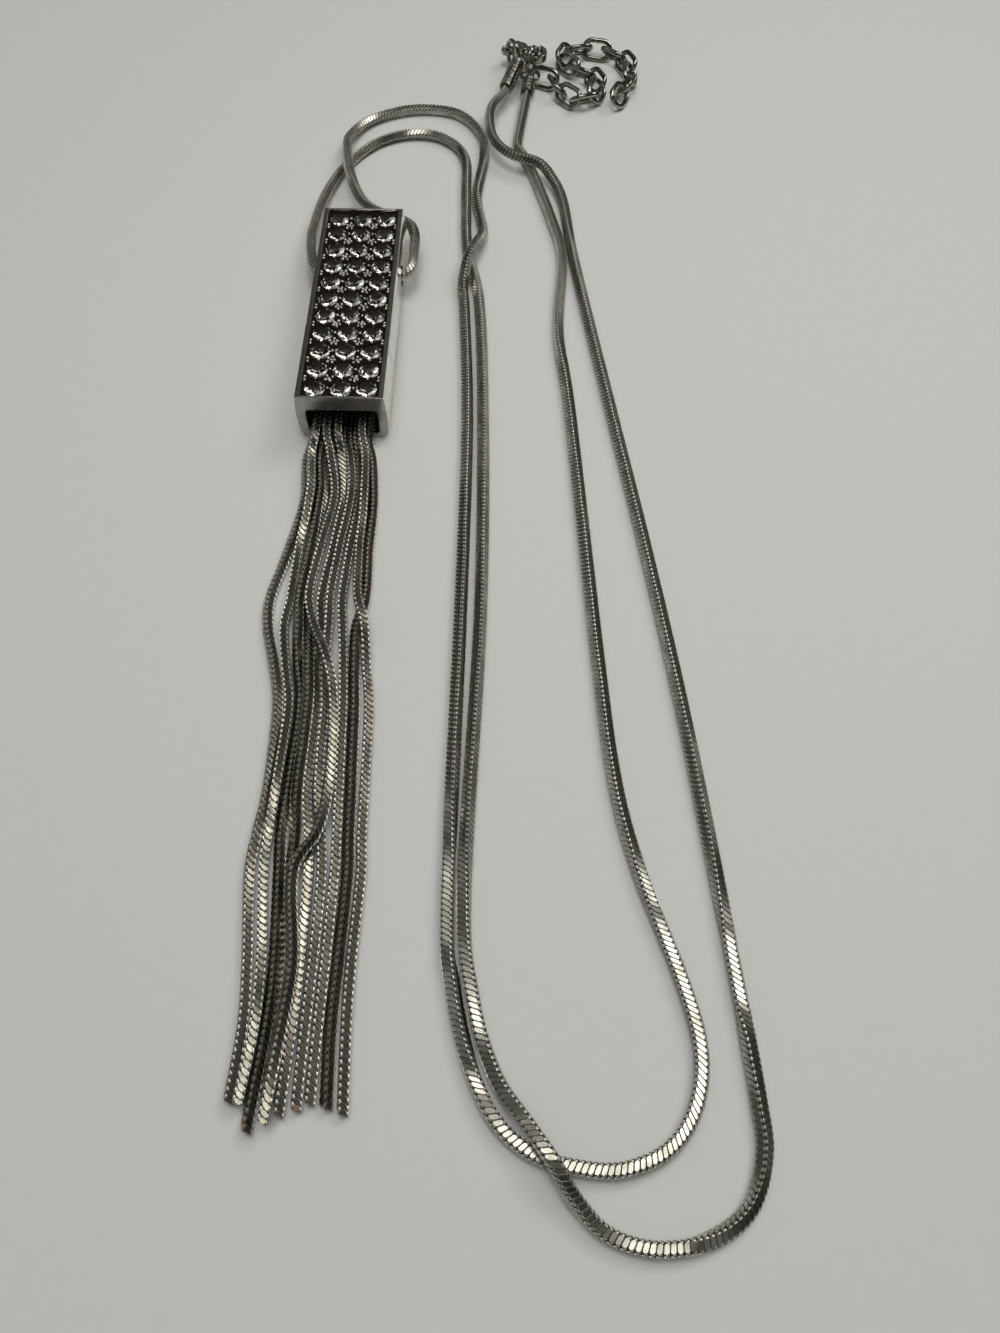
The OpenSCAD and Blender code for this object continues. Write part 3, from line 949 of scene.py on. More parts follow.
@dataclass(frozen=True)
class SnakeLink:
    """One link of a square snake chain: a plate on each side, two beads at each corner."""

    side: float = 1.56 * MM
    pitch: float = 0.67 * MM
    core_share: float = 0.98
    corner: float = 0.24 * MM
    plate_rise: float = 0.12 * MM
    plate_length: float = 0.51 * MM
    plate_spread: float = 1.15
    plate_corner: float = 0.15 * MM
    bead_rise: float = 0.08 * MM
    bead_length: float = 0.2 * MM
    bead_slant: float = 0.3
    bead_stagger: float = 0.25
    inset: float = 0.02 * MM
    soft_angle: float = 75.0

    @property
    def core_length(self) -> float:
        """The length of the core, which all but fills the pitch."""
        return self.pitch * self.core_share

    @property
    def half(self) -> float:
        """Half the width of the core."""
        return self.side / 2 - self.plate_rise

    def raise_faces(
        self,
        piece: Piece,
        test: PairTest,
        rise: float,
        length: float,
        spread: float = 1.0,
        shift: float = 0.0,
    ) -> None:
        """Raises long faces of the core to small tops.

        Args:
            piece: the link, on the bench.
            test: takes the centre and the normal of a face.
            rise: how far each top stands above its face.
            length: how long it is along X.
            spread: how much it is then widened and lifted from the link's middle.
            shift: how far it is moved along X.
        """
        pick_faces(piece, test)
        bpy.ops.mesh.inset(thickness=self.inset, depth=rise, use_individual=True)
        share = length / (self.core_length - 2 * self.inset)
        bpy.ops.transform.resize(value=(share, spread, spread), center_override=(0, 0, 0))
        bpy.ops.transform.translate(value=(shift, 0, 0))

    def model(self) -> Piece:
        """Models the link, its middle at the origin and its length along X.

        Returns:
            The link.
        """
        half_l = self.core_length / 2
        link = block((-half_l, -self.half, -self.half), (half_l, self.half, self.half))
        with on_bench(link):
            pick_edges(link, lambda a, b: abs(a.x - b.x) > half_l)
            bpy.ops.mesh.bevel(offset=self.corner, segments=2, affect="EDGES")
            for side in (-1, 1):
                self.raise_faces(
                    link,
                    lambda at, normal, s=side: min(abs(normal.y), abs(normal.z)) > self.bead_slant
                    and (abs(normal.y) - abs(normal.z)) * s > self.bead_slant,
                    self.bead_rise, self.bead_length, shift=side * self.pitch * self.bead_stagger,
                )
            self.raise_faces(
                link,
                lambda at, normal: square_reach(normal) > FACING,
                self.side / 2 / self.plate_spread - self.half,
                self.plate_length, self.plate_spread,
            )
            bpy.ops.mesh.bevel(offset=self.plate_corner, segments=1, affect="VERTICES")
        smoothed(link, self.soft_angle)
        plate_z = self.half + self.plate_rise / 2
        with on_bench(link):
            pick_faces(
                link,
                lambda at, normal: square_reach(normal) > FACING and square_reach(at) > plate_z,
            )
            bpy.ops.mesh.mark_sharp()
        foot, top = self.half + TIDY, self.side / 2 - TIDY
        # The sunk core between the plates is marked for painted shade, the near-black colour
        # standing for the shade in the gaps
        mark(link, "painted_shade_and_tarnish", lambda at: float(square_reach(at) <= foot))
        # The corner beads are marked for the near-white painted highlight
        mark(link, "bead", lambda at: float(foot < square_reach(at) < top))
        return link


@dataclass
class ChainRun:
    """A stretch of snake chain along a route."""

    name: str
    strand: Strand
    roll: Profile
    lean: Profile
    link: SnakeLink
    warmth: float = 0.0
    tip_warmth: float = 0.0
    tip: float = 1.3 * MM

    def warm_up(self, piece: Piece) -> None:
        """Marks how coppery each point shines, most of all at the cut tip."""
        end = self.strand.length - self.tip
        mark(piece, "warmth", lambda at: self.tip_warmth if at.x > end else self.warmth)

    def lean_plates(self, piece: Piece) -> None:
        """Leans the links forwards on their left and upper sides, before they are bent.

        Args:
            piece: the row of links, still straight along X.
        """
        for vert in piece.data.vertices:
            slope = math.tan(math.radians(self.lean(vert.co.x)))
            vert.co.x += slope * (vert.co.y + vert.co.z)

    def build(self) -> Piece:
        """Lays the links along the strand and makes them one piece.

        Returns:
            The stretch of chain.
        """
        piece = self.link.model()
        guide = self.strand.guide(self.roll)
        count = int(self.strand.length / self.link.pitch) - 1
        spare = (self.strand.length - count * self.link.pitch) / 2
        piece.data.transform(Matrix.Translation((spare + self.link.pitch / 2, 0, 0)))
        work(
            piece,
            "ARRAY",
            count=count,
            use_relative_offset=False,
            use_constant_offset=True,
            constant_offset_displace=(self.link.pitch, 0, 0),
        )
        if self.tip_warmth:
            self.warm_up(piece)
        self.lean_plates(piece)
        work(piece, "CURVE", object=guide, deform_axis="POS_X")
        scrap(guide)
        return piece


# How many swings a wobble is made of, and how far their lengths differ
SWINGS = 3
SWING_SPREAD = (0.6, 1.6)


def wobble(seed: int, size: float, wave: float) -> Profile:
    """Gives a gentle irregular turning.

    Args:
        seed: which one of many.
        size: how far it turns to either side, in degrees.
        wave: how far apart its turns lie, in metres.

    Returns:
        A function from the length along a strand to degrees.
    """
    draw = random.Random(seed)
    swings = [
        (draw.uniform(*SWING_SPREAD) / wave, draw.uniform(0, math.tau)) for _ in range(SWINGS)
    ]
    return lambda at: (
        size / SWINGS * sum(math.sin(math.tau * at * often + start) for often, start in swings)
    )


@dataclass
class MainChain:
    """The two halves of the long chain."""

    link: SnakeLink = SnakeLink()
    rise: float = 0.92 * MM
    shake: float = 3.0
    shake_wave: float = 12 * MM
    finish: ChainPlate = ChainPlate(
        "chain_plate", bright=(0.47, 0.455, 0.41), dull=(0.31, 0.30, 0.255), roughness=0.24,
    )

    def build(self) -> None:
        """Builds and dresses both halves."""
        material = self.finish.material()
        for name, route, lie, seed in (
            ("chain_a", ROUTE_A, LIE_A, 11), ("chain_b", ROUTE_B, LIE_B, 12)
        ):
            strand = Strand([p + Vector((0, 0, self.rise)) for p in in_metres(route)])
            shake = wobble(seed, self.shake, self.shake_wave)
            rolls = [(at, roll) for at, roll, _ in lie]
            leans = [(at, lean) for at, _, lean in lie]
            run = ChainRun(
                name,
                strand,
                lambda at, r=rolls, s=shake: read_off(r, at / MM) + s(at),
                lambda at, r=leans: read_off(r, at / MM),
                self.link,
            )
            hand_over(run.build(), f"snake_{name}", [material], [name])


@dataclass
class Tassel:
    """Ten fine strands that hang from a head block inside the case."""

    link: SnakeLink = SnakeLink(
        side=1.2 * MM, pitch=0.78 * MM, corner=0.17 * MM, plate_rise=0.1 * MM,
        plate_length=0.54 * MM, plate_spread=1.14, plate_corner=0.17 * MM,
        bead_rise=0.06 * MM, bead_length=0.2 * MM,
    )
    lean: float = 38.0
    tip_lean: float = 12.0
    tip_fade: float = 2.0 * MM
    near_end: float = 0.85
    rise: float = 0.685 * MM
    level: float = 0.8 * MM
    plate_rise: float = 0.85 * MM
    head_y: float = 16.5 * MM
    head_low: Point = (-26.55 * MM, 15 * MM, 1.1 * MM)
    head_high: Point = (-16.55 * MM, 23 * MM, 5.3 * MM)
    head_edge: float = 0.4 * MM
    shake: float = 7.0
    shake_wave: float = 12 * MM
    first_seed: int = 20
    bare_tips: tuple[int, ...] = (3, 6, 7)
    tip_glow: float = 2.0
    least_warmth: float = 0.01
    finish: ChainPlate = ChainPlate(
        "tassel_plate", bright=(0.32, 0.31, 0.26), dull=(0.15, 0.145, 0.115), roughness=0.21,
    )

    def strand(
        self, across: Sequence[float], levels: Sequence[int], tip: Sequence[float]
    ) -> Strand:
        """Runs one strand from the head to its tip.

        Args:
            across: where it lies across at each station, in millimetres.
            levels: its level in the heap at each station.
            tip: the place of its tip, in millimetres.

        Returns:
            The strand's middle line.
        """
        points = [Vector((across[0] * MM, self.head_y, self.plate_rise + self.level * levels[0]))]
        for x, y, level in zip(across, STATION_Y, levels):
            points.append(Vector((x * MM, y * MM, self.level * level)))
        points[1].z += self.plate_rise
        points.append(Vector((tip[0] * MM, tip[1] * MM, self.level * levels[-1])))
        return Strand([p + Vector((0, 0, self.rise)) for p in points])

    def lean_at(self, left: float) -> float:
        """Gives the plates' lean, which fades over the last of a strand, cut square."""
        return self.tip_lean + (self.lean - self.tip_lean) * min(1.0, left / self.tip_fade)

    def head(self) -> Piece:
        """Models the head block.

        Returns:
            The block.
        """
        head = block(self.head_low, self.head_high)
        work(head, "BEVEL", width=self.head_edge, segments=3)
        smoothed(head, degrees=40)
        return head

    def build(self) -> None:
        """Builds and dresses the head and the strands."""
        material = self.finish.material()
        hand_over(self.head(), "tassel_head", [material], ["tassel"])
        for number, (across, levels, tip, turns, warmth) in enumerate(STRANDS, 1):
            strand = self.strand(across, levels, tip)
            length = strand.length
            rolls = list(zip((0, length / 2, length * self.near_end, length), turns))
            shake = wobble(self.first_seed + number, self.shake, self.shake_wave)
            bare = number in self.bare_tips
            run = ChainRun(
                f"tassel_strand_{number}",
                strand,
                lambda at, r=rolls, w=shake, n=length: read_off(r, at) + w(at) * (1 - at / n),
                lambda at, n=length: self.lean_at(n - at),
                self.link,
                warmth,
                self.tip_glow if bare else max(warmth, self.least_warmth),
            )
            hand_over(run.build(), run.name, [material], ["tassel"])


# Case and stones


@dataclass
class Case:
    """The cast case: open at its mouth, swelling at its sides, with a field of stones."""

    width: float = 12.9 * MM
    swell: float = 0.3 * MM
    wall: float = 1.15 * MM
    end_wall: float = 1.2 * MM
    floor: float = 0.8 * MM
    top: float = 2.6 * MM
    foot: float = 1.2 * MM
    rim_side: float = 0.7 * MM
    rim_end: float = 0.35 * MM
    field_drop: float = 0.5 * MM
    hole_y: float = 32.7 * MM
    hole_z: float = 4 * MM
    hole_d: float = 3.4 * MM
    mouth_corner: float = 0.9 * MM
    edge: float = 0.14 * MM
    side_steps: int = 8
    # How dark the top rims and the near face are painted: painted shade standing for the dark
    # reflection on these flat faces, while the sides stay bright
    rim_painted_shade: float = 0.75
    face_painted_shade: float = 0.5
    # The case's near-black colour is painted shade, with patina round the stones
    finish: SilverPlate = SilverPlate(
        "case_plate", bright=(0.86, 0.84, 0.80), dull=(0.66, 0.64, 0.59),
        painted_shade_and_tarnish=(0.035, 0.026, 0.018), roughness=0.08, roughness_play=0.08,
    )

    def __post_init__(self) -> None:
        """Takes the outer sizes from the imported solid."""
        low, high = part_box("case")
        self.low, self.high = low, high
        self.x = (low.x + high.x) / 2
        self.height = high.z
        self.field_half = self.width / 2 - self.rim_side
        self.inner = self.width / 2 - self.wall
        self.ceiling = self.height - self.top
        self.field_z = self.height - self.field_drop

    def half_width(self, z: float) -> float:
        """Gives half the width at a height, on the arc of the swelling side.

        Args:
            z: the height.

        Returns:
            Half the width there.
        """
        half_h = self.height / 2
        radius = (half_h**2 + self.swell**2) / (2 * self.swell)
        return self.width / 2 + self.swell - radius + math.sqrt(radius**2 - (z - half_h) ** 2)

    def saw_sides(self, half: float) -> None:
        """Cuts the piece on the bench along both sides, so far from its middle."""
        for side in (-1, 1):
            saw((self.x + side * half, 0, 0), (1, 0, 0))

    def blank(self) -> Piece:
        """Shapes the outside: a block with a rounded foot and swelling sides.

        Returns:
            The blank.
        """
        low = (self.x - self.width / 2, self.low.y, 0)
        high = (self.x + self.width / 2, self.high.y, self.height)
        piece = block(low, high)
        with on_bench(piece):
            pick_edges(piece, lambda a, b: abs(a.y - b.y) > self.wall and a.z + b.z < TIDY)
            bpy.ops.mesh.bevel(offset=self.foot, segments=5, affect="EDGES")
            for step in range(1, self.side_steps):
                level = self.height * step / self.side_steps
                if level > self.foot:
                    saw((0, 0, level), (0, 0, 1))
            mesh = bmesh.from_edit_mesh(piece.data)
            levels = sorted({round(v.co.z, 8) for v in mesh.verts if v.co.z > self.foot - TIDY})
            for level in levels:
                pick_points(piece, lambda at, z=level: abs(at.z - z) < TIDY)
                bpy.ops.transform.resize(
                    value=(2 * self.half_width(level) / self.width, 1, 1),
                    center_override=(self.x, 0, 0),
                )
        return piece

    def open_mouth(self, piece: Piece) -> None:
        """Sinks the cavity behind the mouth and rounds its long corners.

        Args:
            piece: the blank.
        """
        depth = self.high.y - self.low.y - self.end_wall
        with on_bench(piece):
            self.saw_sides(self.inner)
            saw((0, 0, self.floor), (0, 0, 1))
            saw((0, 0, self.ceiling), (0, 0, 1))
            pick_faces(
                piece,
                lambda at, normal: normal.y < -FACING
                and abs(at.x - self.x) < self.inner
                and self.floor < at.z < self.ceiling,
            )
            bpy.ops.mesh.dissolve_faces()
            bpy.ops.mesh.extrude_region_move(TRANSFORM_OT_translate={"value": (0, depth, 0)})
            pick_edges(
                piece,
                lambda a, b: abs(a.y - b.y) > depth / 2
                and abs(abs(a.x - self.x) - self.inner) < TIDY
                and min(abs(a.z - self.ceiling), abs(a.z - self.floor)) < TIDY,
            )
            bpy.ops.mesh.bevel(offset=self.mouth_corner, segments=5, affect="EDGES")

    def sink_field(self, piece: Piece) -> None:
        """Sinks the field of stones below the rim.

        Args:
            piece: the case, its mouth open.
        """
        near, far = self.low.y + self.rim_end, self.high.y - self.rim_end
        with on_bench(piece):
            self.saw_sides(self.field_half)
            saw((0, near, 0), (0, 1, 0))
            saw((0, far, 0), (0, 1, 0))
            pick_faces(
                piece,
                lambda at, normal: normal.z > FACING
                and at.z > self.field_z
                and abs(at.x - self.x) < self.field_half
                and near < at.y < far,
            )
            bpy.ops.mesh.extrude_region_move(
                TRANSFORM_OT_translate={"value": (0, 0, -self.field_drop)}
            )

    def drill(self, piece: Piece, stones: "StoneField") -> None:
        """Bores the chain's holes and the stones' seats.

        Args:
            piece: the case.
            stones: the stones that it carries.
        """
        bore = rod(self.hole_d / 2, 2 * self.width, sides=48)
        bore.data.transform(put_at((self.x, self.hole_y, self.hole_z), (math.pi / 2, "Y")))
        carve(piece, bore)
        seat = rod(stones.seat_d / 2, 2 * stones.depth, sides=32)
        seats = [copied(seat, put_at((*spot, self.height))) for spot in stones.spots.values()]
        scrap(seat)
        carve(piece, joined(seats))

    def tarnish_and_painted_shade(self, at: Vector) -> float:
        """Gives how dark the case is painted: all round the stones and inside the mouth, as
        patina and painted shade round the stones and painted shade in the mouth, and less on its
        near face and top rims, as a painted dark reflection.

        Args:
            at: a place on its skin.

        Returns:
            The share of the dark colour.
        """
        across = abs(at.x - self.x)
        in_field = across < self.field_half + TIDY and self.within_rims(at.y)
        in_mouth = across < self.inner + TIDY and at.y > self.low.y + self.wall
        if in_field and self.ceiling < at.z < self.field_z + self.edge:
            return 1.0
        if in_mouth and self.floor - TIDY < at.z < self.ceiling:
            return 1.0
        if at.y < self.low.y + TIDY:
            return self.face_painted_shade
        if at.z > self.height - TIDY and across > self.field_half - TIDY:
            return self.rim_painted_shade
        return 0.0

    def within_rims(self, y: float) -> bool:
        """Tells whether a place along the case lies between its end rims."""
        return self.low.y + self.rim_end - TIDY < y < self.high.y - self.rim_end + TIDY

    def build(self, stones: "StoneField") -> None:
        """Builds and dresses the case.

        Args:
            stones: the stones that it carries.
        """
        piece = self.blank()
        self.open_mouth(piece)
        self.sink_field(piece)
        work(piece, "BEVEL", width=self.edge, segments=3, limit_method="ANGLE", angle_limit=SHARP)
        self.drill(piece, stones)
        # Marks the case's patina and painted shade for its finish
        mark(piece, "painted_shade_and_tarnish", self.tarnish_and_painted_shade)
        smoothed(piece, degrees=30)
        hand_over(piece, "case_shell", [self.finish.material()], ["case"])


@dataclass
class StoneField:
    """Rows of cut stones with small grains of metal between them."""

    rows: int = 11
    columns: int = 3
    pitch: float = 3.8 * MM
    diameter: float = 3.1 * MM
    seat_d: float = 3.3 * MM
    table_share: float = 0.56
    crown: float = 0.45 * MM
    girdle: float = 0.12 * MM
    pavilion: float = 1.15 * MM
    half_facet_steeper: float = 0.10
    star_flatter: float = 0.22
    star_reach: float = 0.985
    keel_reach: float = 0.94
    keel_facet_steeper: float = 0.05
    foil_rise: float = 0.2
    tip: float = 2.0
    grain_r: float = 0.23 * MM
    grain_lift: float = 0.17 * MM
    grain_reach: float = 0.55 * MM
    reach_play: Span = (0.8, 1.2)
    grains_round: tuple[int, ...] = (4, 5, 5)
    middle_size: Span = (0.8, 1.05)
    round_size: Span = (0.75, 1.1)
    rim_size: Span = (0.7, 1.0)
    gap_size: Span = (0.7, 0.95)
    rim_reach: float = 1.62 * MM
    rim_shift: float = 0.32 * MM
    seed: int = 5
    glass: StoneGlass = StoneGlass()
    foil: StoneFoil = StoneFoil()
    grain_finish: SilverPlate = SilverPlate(
        "grain_plate", bright=(0.95, 0.93, 0.88), dull=(0.8, 0.78, 0.72), metallic=0.5,
        roughness=0.2, roughness_play=0.06,
    )

    def __post_init__(self) -> None:
        """Finds the stones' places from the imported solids."""
        self.spots: dict[tuple[int, int], Vector] = {}
        for row in range(1, self.rows + 1):
            for column in range(1, self.columns + 1):
                low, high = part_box(f"stone_{row}_{column}")
                self.spots[row, column] = ((low + high) / 2).xy
                self.table_z = high.z
        self.depth = self.crown + self.girdle + self.pavilion

    def facets(self) -> list[tuple[float, float, int, float, float]]:
        """Lists the rounds of facets of a stone, from its table down.

        Returns:
            For each round its height, its slope in radians, which is below zero under the
            girdle, its number of facets, where the first one lies as a share of the step
            between two, and how far out it lies as a share of the radius.
        """
        radius = self.diameter / 2
        keel = -self.crown - self.girdle
        crown_slope = math.atan2(self.crown, radius - radius * self.table_share)
        keel_slope = math.atan2(self.pavilion, radius * self.keel_reach)
        return [
            (-self.crown, crown_slope, 8, 0.0, 1.0),
            (-self.crown, crown_slope + self.half_facet_steeper, 16, 0.5, 1.0),
            (0.0, crown_slope - self.star_flatter, 8, 0.5, self.table_share * self.star_reach),
            (keel, -keel_slope, 8, 0.0, 1.0),
            (keel, -keel_slope - self.keel_facet_steeper, 16, 0.5, 1.0),
        ]

    def cut_stone(self) -> Piece:
        """Cuts one stone facet by facet, its table at height zero.

        Returns:
            The stone, the faces of its lower half marked for the foil.
        """
        radius = self.diameter / 2
        stone = rod(radius, self.depth, sides=32)
        stone.data.transform(Matrix.Translation((0, 0, -self.depth / 2)))
        with on_bench(stone):
            for z, slope, count, start, reach in self.facets():
                upwards = Vector((0, 0, math.copysign(math.cos(abs(slope)), slope)))
                for i in range(count):
                    turn = math.tau * (i + start) / count
                    out = Vector((math.cos(turn), math.sin(turn), 0))
                    normal = out * math.sin(abs(slope)) + upwards
                    saw(out * radius * reach + Vector((0, 0, z)), normal, clear=True)
        face_outwards(stone)
        stone.data.materials.clear()
        for _ in range(2):
            stone.data.materials.append(None)
        foil_top = -self.crown - self.girdle + self.girdle * self.foil_rise
        for face in stone.data.polygons:
            face.material_index = 1 if face.center.z < foil_top else 0
        return stone

    def grain_spots(self, draw: random.Random) -> list[tuple[Vector, float]]:
        """Scatters grains in the gaps between the stones and along the rims.

        Args:
            draw: the source of chance.

        Returns:
            The place across and along, and the size of each grain.
        """
        spots: list[tuple[Vector, float]] = []
        step = Vector((self.pitch / 2, self.pitch / 2))
        for (row, column), spot in self.spots.items():
            if row < self.rows and column < self.columns:
                middle = spot + step
                count = draw.choice(self.grains_round)
                turn = draw.uniform(0, math.tau)
                spots.append((middle, draw.uniform(*self.middle_size)))
                for i in range(count):
                    angle = turn + math.tau * i / count
                    reach = self.grain_reach * draw.uniform(*self.reach_play)
                    place = middle + Vector((math.cos(angle), math.sin(angle))) * reach
                    spots.append((place, draw.uniform(*self.round_size)))
            for side in (-1, 1):
                if column == (1 if side < 0 else self.columns) and row < self.rows:
                    for shift in (-self.rim_shift, self.rim_shift):
                        place = spot + Vector((side * self.rim_reach, self.pitch / 2 + shift))
                        spots.append((place, draw.uniform(*self.rim_size)))
            if row < self.rows:
                spots.append((spot + Vector((0, self.pitch / 2)), draw.uniform(*self.gap_size)))
            if column < self.columns:
                spots.append((spot + Vector((self.pitch / 2, 0)), draw.uniform(*self.gap_size)))
        return spots

    def set_stones(self, draw: random.Random) -> None:
        """Copies one cut stone into every seat, each a little turned and tipped.

        Args:
            draw: the source of chance.
        """
        glass, foil = self.glass.material(), self.foil.material()
        master = self.cut_stone()
        for (row, column), spot in self.spots.items():
            turn = draw.uniform(0, math.tau)
            tip = math.radians(draw.uniform(-self.tip, self.tip))
            tone = draw.random()
            stone = copied(master, put_at((*spot, self.table_z), (tip, "X"), (turn, "Z")))
            mark(stone, "tone", lambda at, t=tone: t)
            name = f"stone_{row}_{column}"
            hand_over(stone, f"cut_{name}", [glass, foil], [name])
        scrap(master)

    def raise_grains(self, draw: random.Random, field_z: float) -> None:
        """Raises the grains of metal round the stones.

        Args:
            draw: the source of chance.
            field_z: the height of the field that they stand on.
        """
        bead = added(bpy.ops.mesh.primitive_ico_sphere_add, subdivisions=2, radius=self.grain_r)
        beads = []
        for spot, size in self.grain_spots(draw):
            place = put_at((*spot, field_z + self.grain_lift))
            beads.append(copied(bead, place @ Matrix.Scale(size, 4)))
        scrap(bead)
        grains = joined(beads)
        smoothed(grains, degrees=60)
        hand_over(grains, "stone_grains", [self.grain_finish.material()])

    def build(self, field_z: float) -> None:
        """Builds and dresses the stones and the grains.

        Args:
            field_z: the height of the field round the stones.
        """
        draw = random.Random(self.seed)
        self.set_stones(draw)
        self.raise_grains(draw, field_z)


# Wire, caps and clasp


def wire_ring(radius: float, wire_r: float, seam: float = 0.0, steps: int = 56) -> Piece:
    """Bends round wire into a flat ring round the origin.

    Args:
        radius: from the middle of the ring to the middle of the wire.
        wire_r: the wire's radius.
        seam: how many degrees the ring stays open.
        steps: how many straight steps the bend is made in.

    Returns:
        The ring.
    """
    ring = added(
        bpy.ops.mesh.primitive_circle_add, vertices=16, radius=wire_r,
        fill_type="NGON" if seam else "NOTHING", location=(radius, 0, 0),
        rotation=(math.pi / 2, 0, 0),
    )
    bpy.ops.object.transform_apply(location=True, rotation=True, scale=True)
    ring.data.transform(Matrix.Rotation(math.pi / steps, 4, "Z"))
    with on_bench(ring):
        bpy.ops.mesh.select_all(action="SELECT")
        bpy.ops.mesh.spin(
            steps=steps, angle=math.tau - math.radians(seam), center=(0, 0, 0), axis=(0, 0, 1)
        )
    face_outwards(ring)
    smoothed(ring, degrees=50)
    return ring


@dataclass
class OvalLinks:
    """The extender: oval links, each through the next."""

    count: int = 16
    length: float = 6.2 * MM
    width: float = 4.2 * MM
    wire: float = 0.9 * MM
    pitch: float = 3.9 * MM
    lean: float = 45.0
    lift: float = 0.02 * MM
    steps: int = 30
    route_steps: int = 4
    finish: SmokedPlate = SmokedPlate("link_plate")

    @property
    def bow(self) -> float:
        """The radius of a link's round ends, to the middle of the wire."""
        return (self.width - self.wire) / 2

    def link(self) -> Piece:
        """Bends one link, flat round the origin and long along X.

        Returns:
            The link.
        """
        leg = (self.length - self.wire) / 2 - self.bow
        link = wire_ring(self.bow, self.wire / 2, steps=self.steps)
        with on_bench(link):
            for side in (-1, 1):
                pick_points(link, lambda at, s=side: at.x * s > 0)
                bpy.ops.transform.translate(value=(side * leg, 0, 0))
        return link

    def joints(self) -> list[Vector]:
        """Steps along the route from one interlock to the next.

        Returns:
            The places where the links meet, and the two ends.
        """
        line = smooth_line(in_metres(ROUTE_E), self.route_steps)
        found = []
        for number in range(self.count + 1):
            left = number * self.pitch
            for here, there in zip(line, line[1:]):
                step = (there - here).length
                if left <= step:
                    found.append(here + (there - here) * left / step)
                    break
                left -= step
            else:
                found.append(line[-1])
        return found

    def build(self) -> None:
        """Builds and dresses the links."""
        material = self.finish.material()
        master = self.link()
        joints = self.joints()
        for number, (a, b) in enumerate(zip(joints, joints[1:])):
            lean = math.radians(self.lean if number % 2 == 0 else -self.lean)
            middle = (a + b) / 2
            middle.z = self.bow * abs(math.sin(lean)) + self.wire / 2 + self.lift
            turn = math.atan2(b.y - a.y, b.x - a.x)
            link = copied(master, put_at(middle, (turn, "Z"), (lean, "X")))
            hand_over(link, f"extender_link_{number + 1}", [material], ["extender"])
        scrap(master)


@dataclass
class JumpRings:
    """The two rings that stand upright at the clasp."""

    wire: float = 0.8 * MM
    seam: float = 5.0
    finish: SmokedPlate = SmokedPlate("ring_plate")

    def build(self) -> None:
        """Builds and dresses the rings."""
        material = self.finish.material()
        # Middle and radius in millimetres, then the way that the ring faces, in degrees
        for name, middle, radius, turn in (
            ("ring_a", (2.55, 98.4, 3), 2.5, 117.7), ("ring_b", (6.18, 96.56, 2.9), 2.4, 68.9)
        ):
            ring = wire_ring(radius * MM, self.wire / 2, self.seam)
            upright = (math.pi / 2, "X")
            ring.data.transform(put_at(Vector(middle) * MM, (math.radians(turn), "Z"), upright))
            hand_over(ring, f"jump_{name}", [material], [name])


@dataclass
class EndCaps:
    """The ribbed caps at the chain's two ends, each with its eye."""

    radius: float = 1.35 * MM
    rib_rise: float = 0.12 * MM
    rib_spacing: float = 1.0 * MM
    socket_r: float = 1.0 * MM
    socket_depth: float = 2.6 * MM
    rib_span: Span = (0.22, 0.78)
    rib_slope: float = 0.1
    edge: float = 0.05 * MM
    finish: SmokedPlate = SmokedPlate("cap_plate")

    def body(self, length: float) -> Piece:
        """Turns one cap, standing on the origin with its socket below.

        Args:
            length: the cap's length.

        Returns:
            The cap.
        """
        core_r = self.radius - self.rib_rise
        cap = rod(core_r, length, sides=40)
        cap.data.transform(Matrix.Translation((0, 0, length / 2)))
        ribs = round(length / self.rib_spacing)
        pitch = length / ribs
        with on_bench(cap):
            for i in range(ribs):
                for edge in self.rib_span:
                    saw((0, 0, (i + edge) * pitch), (0, 0, 1))
            for i in range(ribs):
                low, high = ((i + edge) * pitch for edge in self.rib_span)
                pick_faces(
                    cap, lambda at, normal, a=low, b=high: abs(normal.z) < FACING and a < at.z < b
                )
                bpy.ops.mesh.inset(thickness=self.rib_slope * pitch, depth=self.rib_rise)
            pick_faces(cap, lambda at, normal: normal.z < -FACING)
            bpy.ops.mesh.inset(thickness=core_r - self.socket_r)
            bpy.ops.mesh.extrude_region_move(
                TRANSFORM_OT_translate={"value": (0, 0, self.socket_depth)}
            )
        work(cap, "BEVEL", width=self.edge, segments=2, limit_method="ANGLE", angle_limit=SHARP)
        smoothed(cap, degrees=40)
        return cap

    def build(self) -> None:
        """Builds and dresses the caps."""
        material = self.finish.material()
        # In millimetres: the cap's two ends, then the eye's middle beyond it, radius and wire
        for name, start, end, reach, eye_r, wire_r in (
            ("cap_a", (1.2, 87.2, 2.95), (3.4, 95.1, 3.5), 1.15, 1.0, 0.25),
            ("cap_b", (5.25, 88.2, 1.45), (5.7, 92.4, 1.5), 1.75, 1.75, 0.3),
        ):
            foot, tip = Vector(start) * MM, Vector(end) * MM
            way = tip - foot
            cap = self.body(way.length)
            cap.data.transform(
                Matrix.Translation(foot) @ way.to_track_quat("Z", "Y").to_matrix().to_4x4()
            )
            eye = wire_ring(eye_r * MM, wire_r * MM)
            eye.data.transform(Matrix.Translation(tip + way.normalized() * reach * MM))
            hand_over(joined([cap, eye]), f"ribbed_{name}", [material], [name])


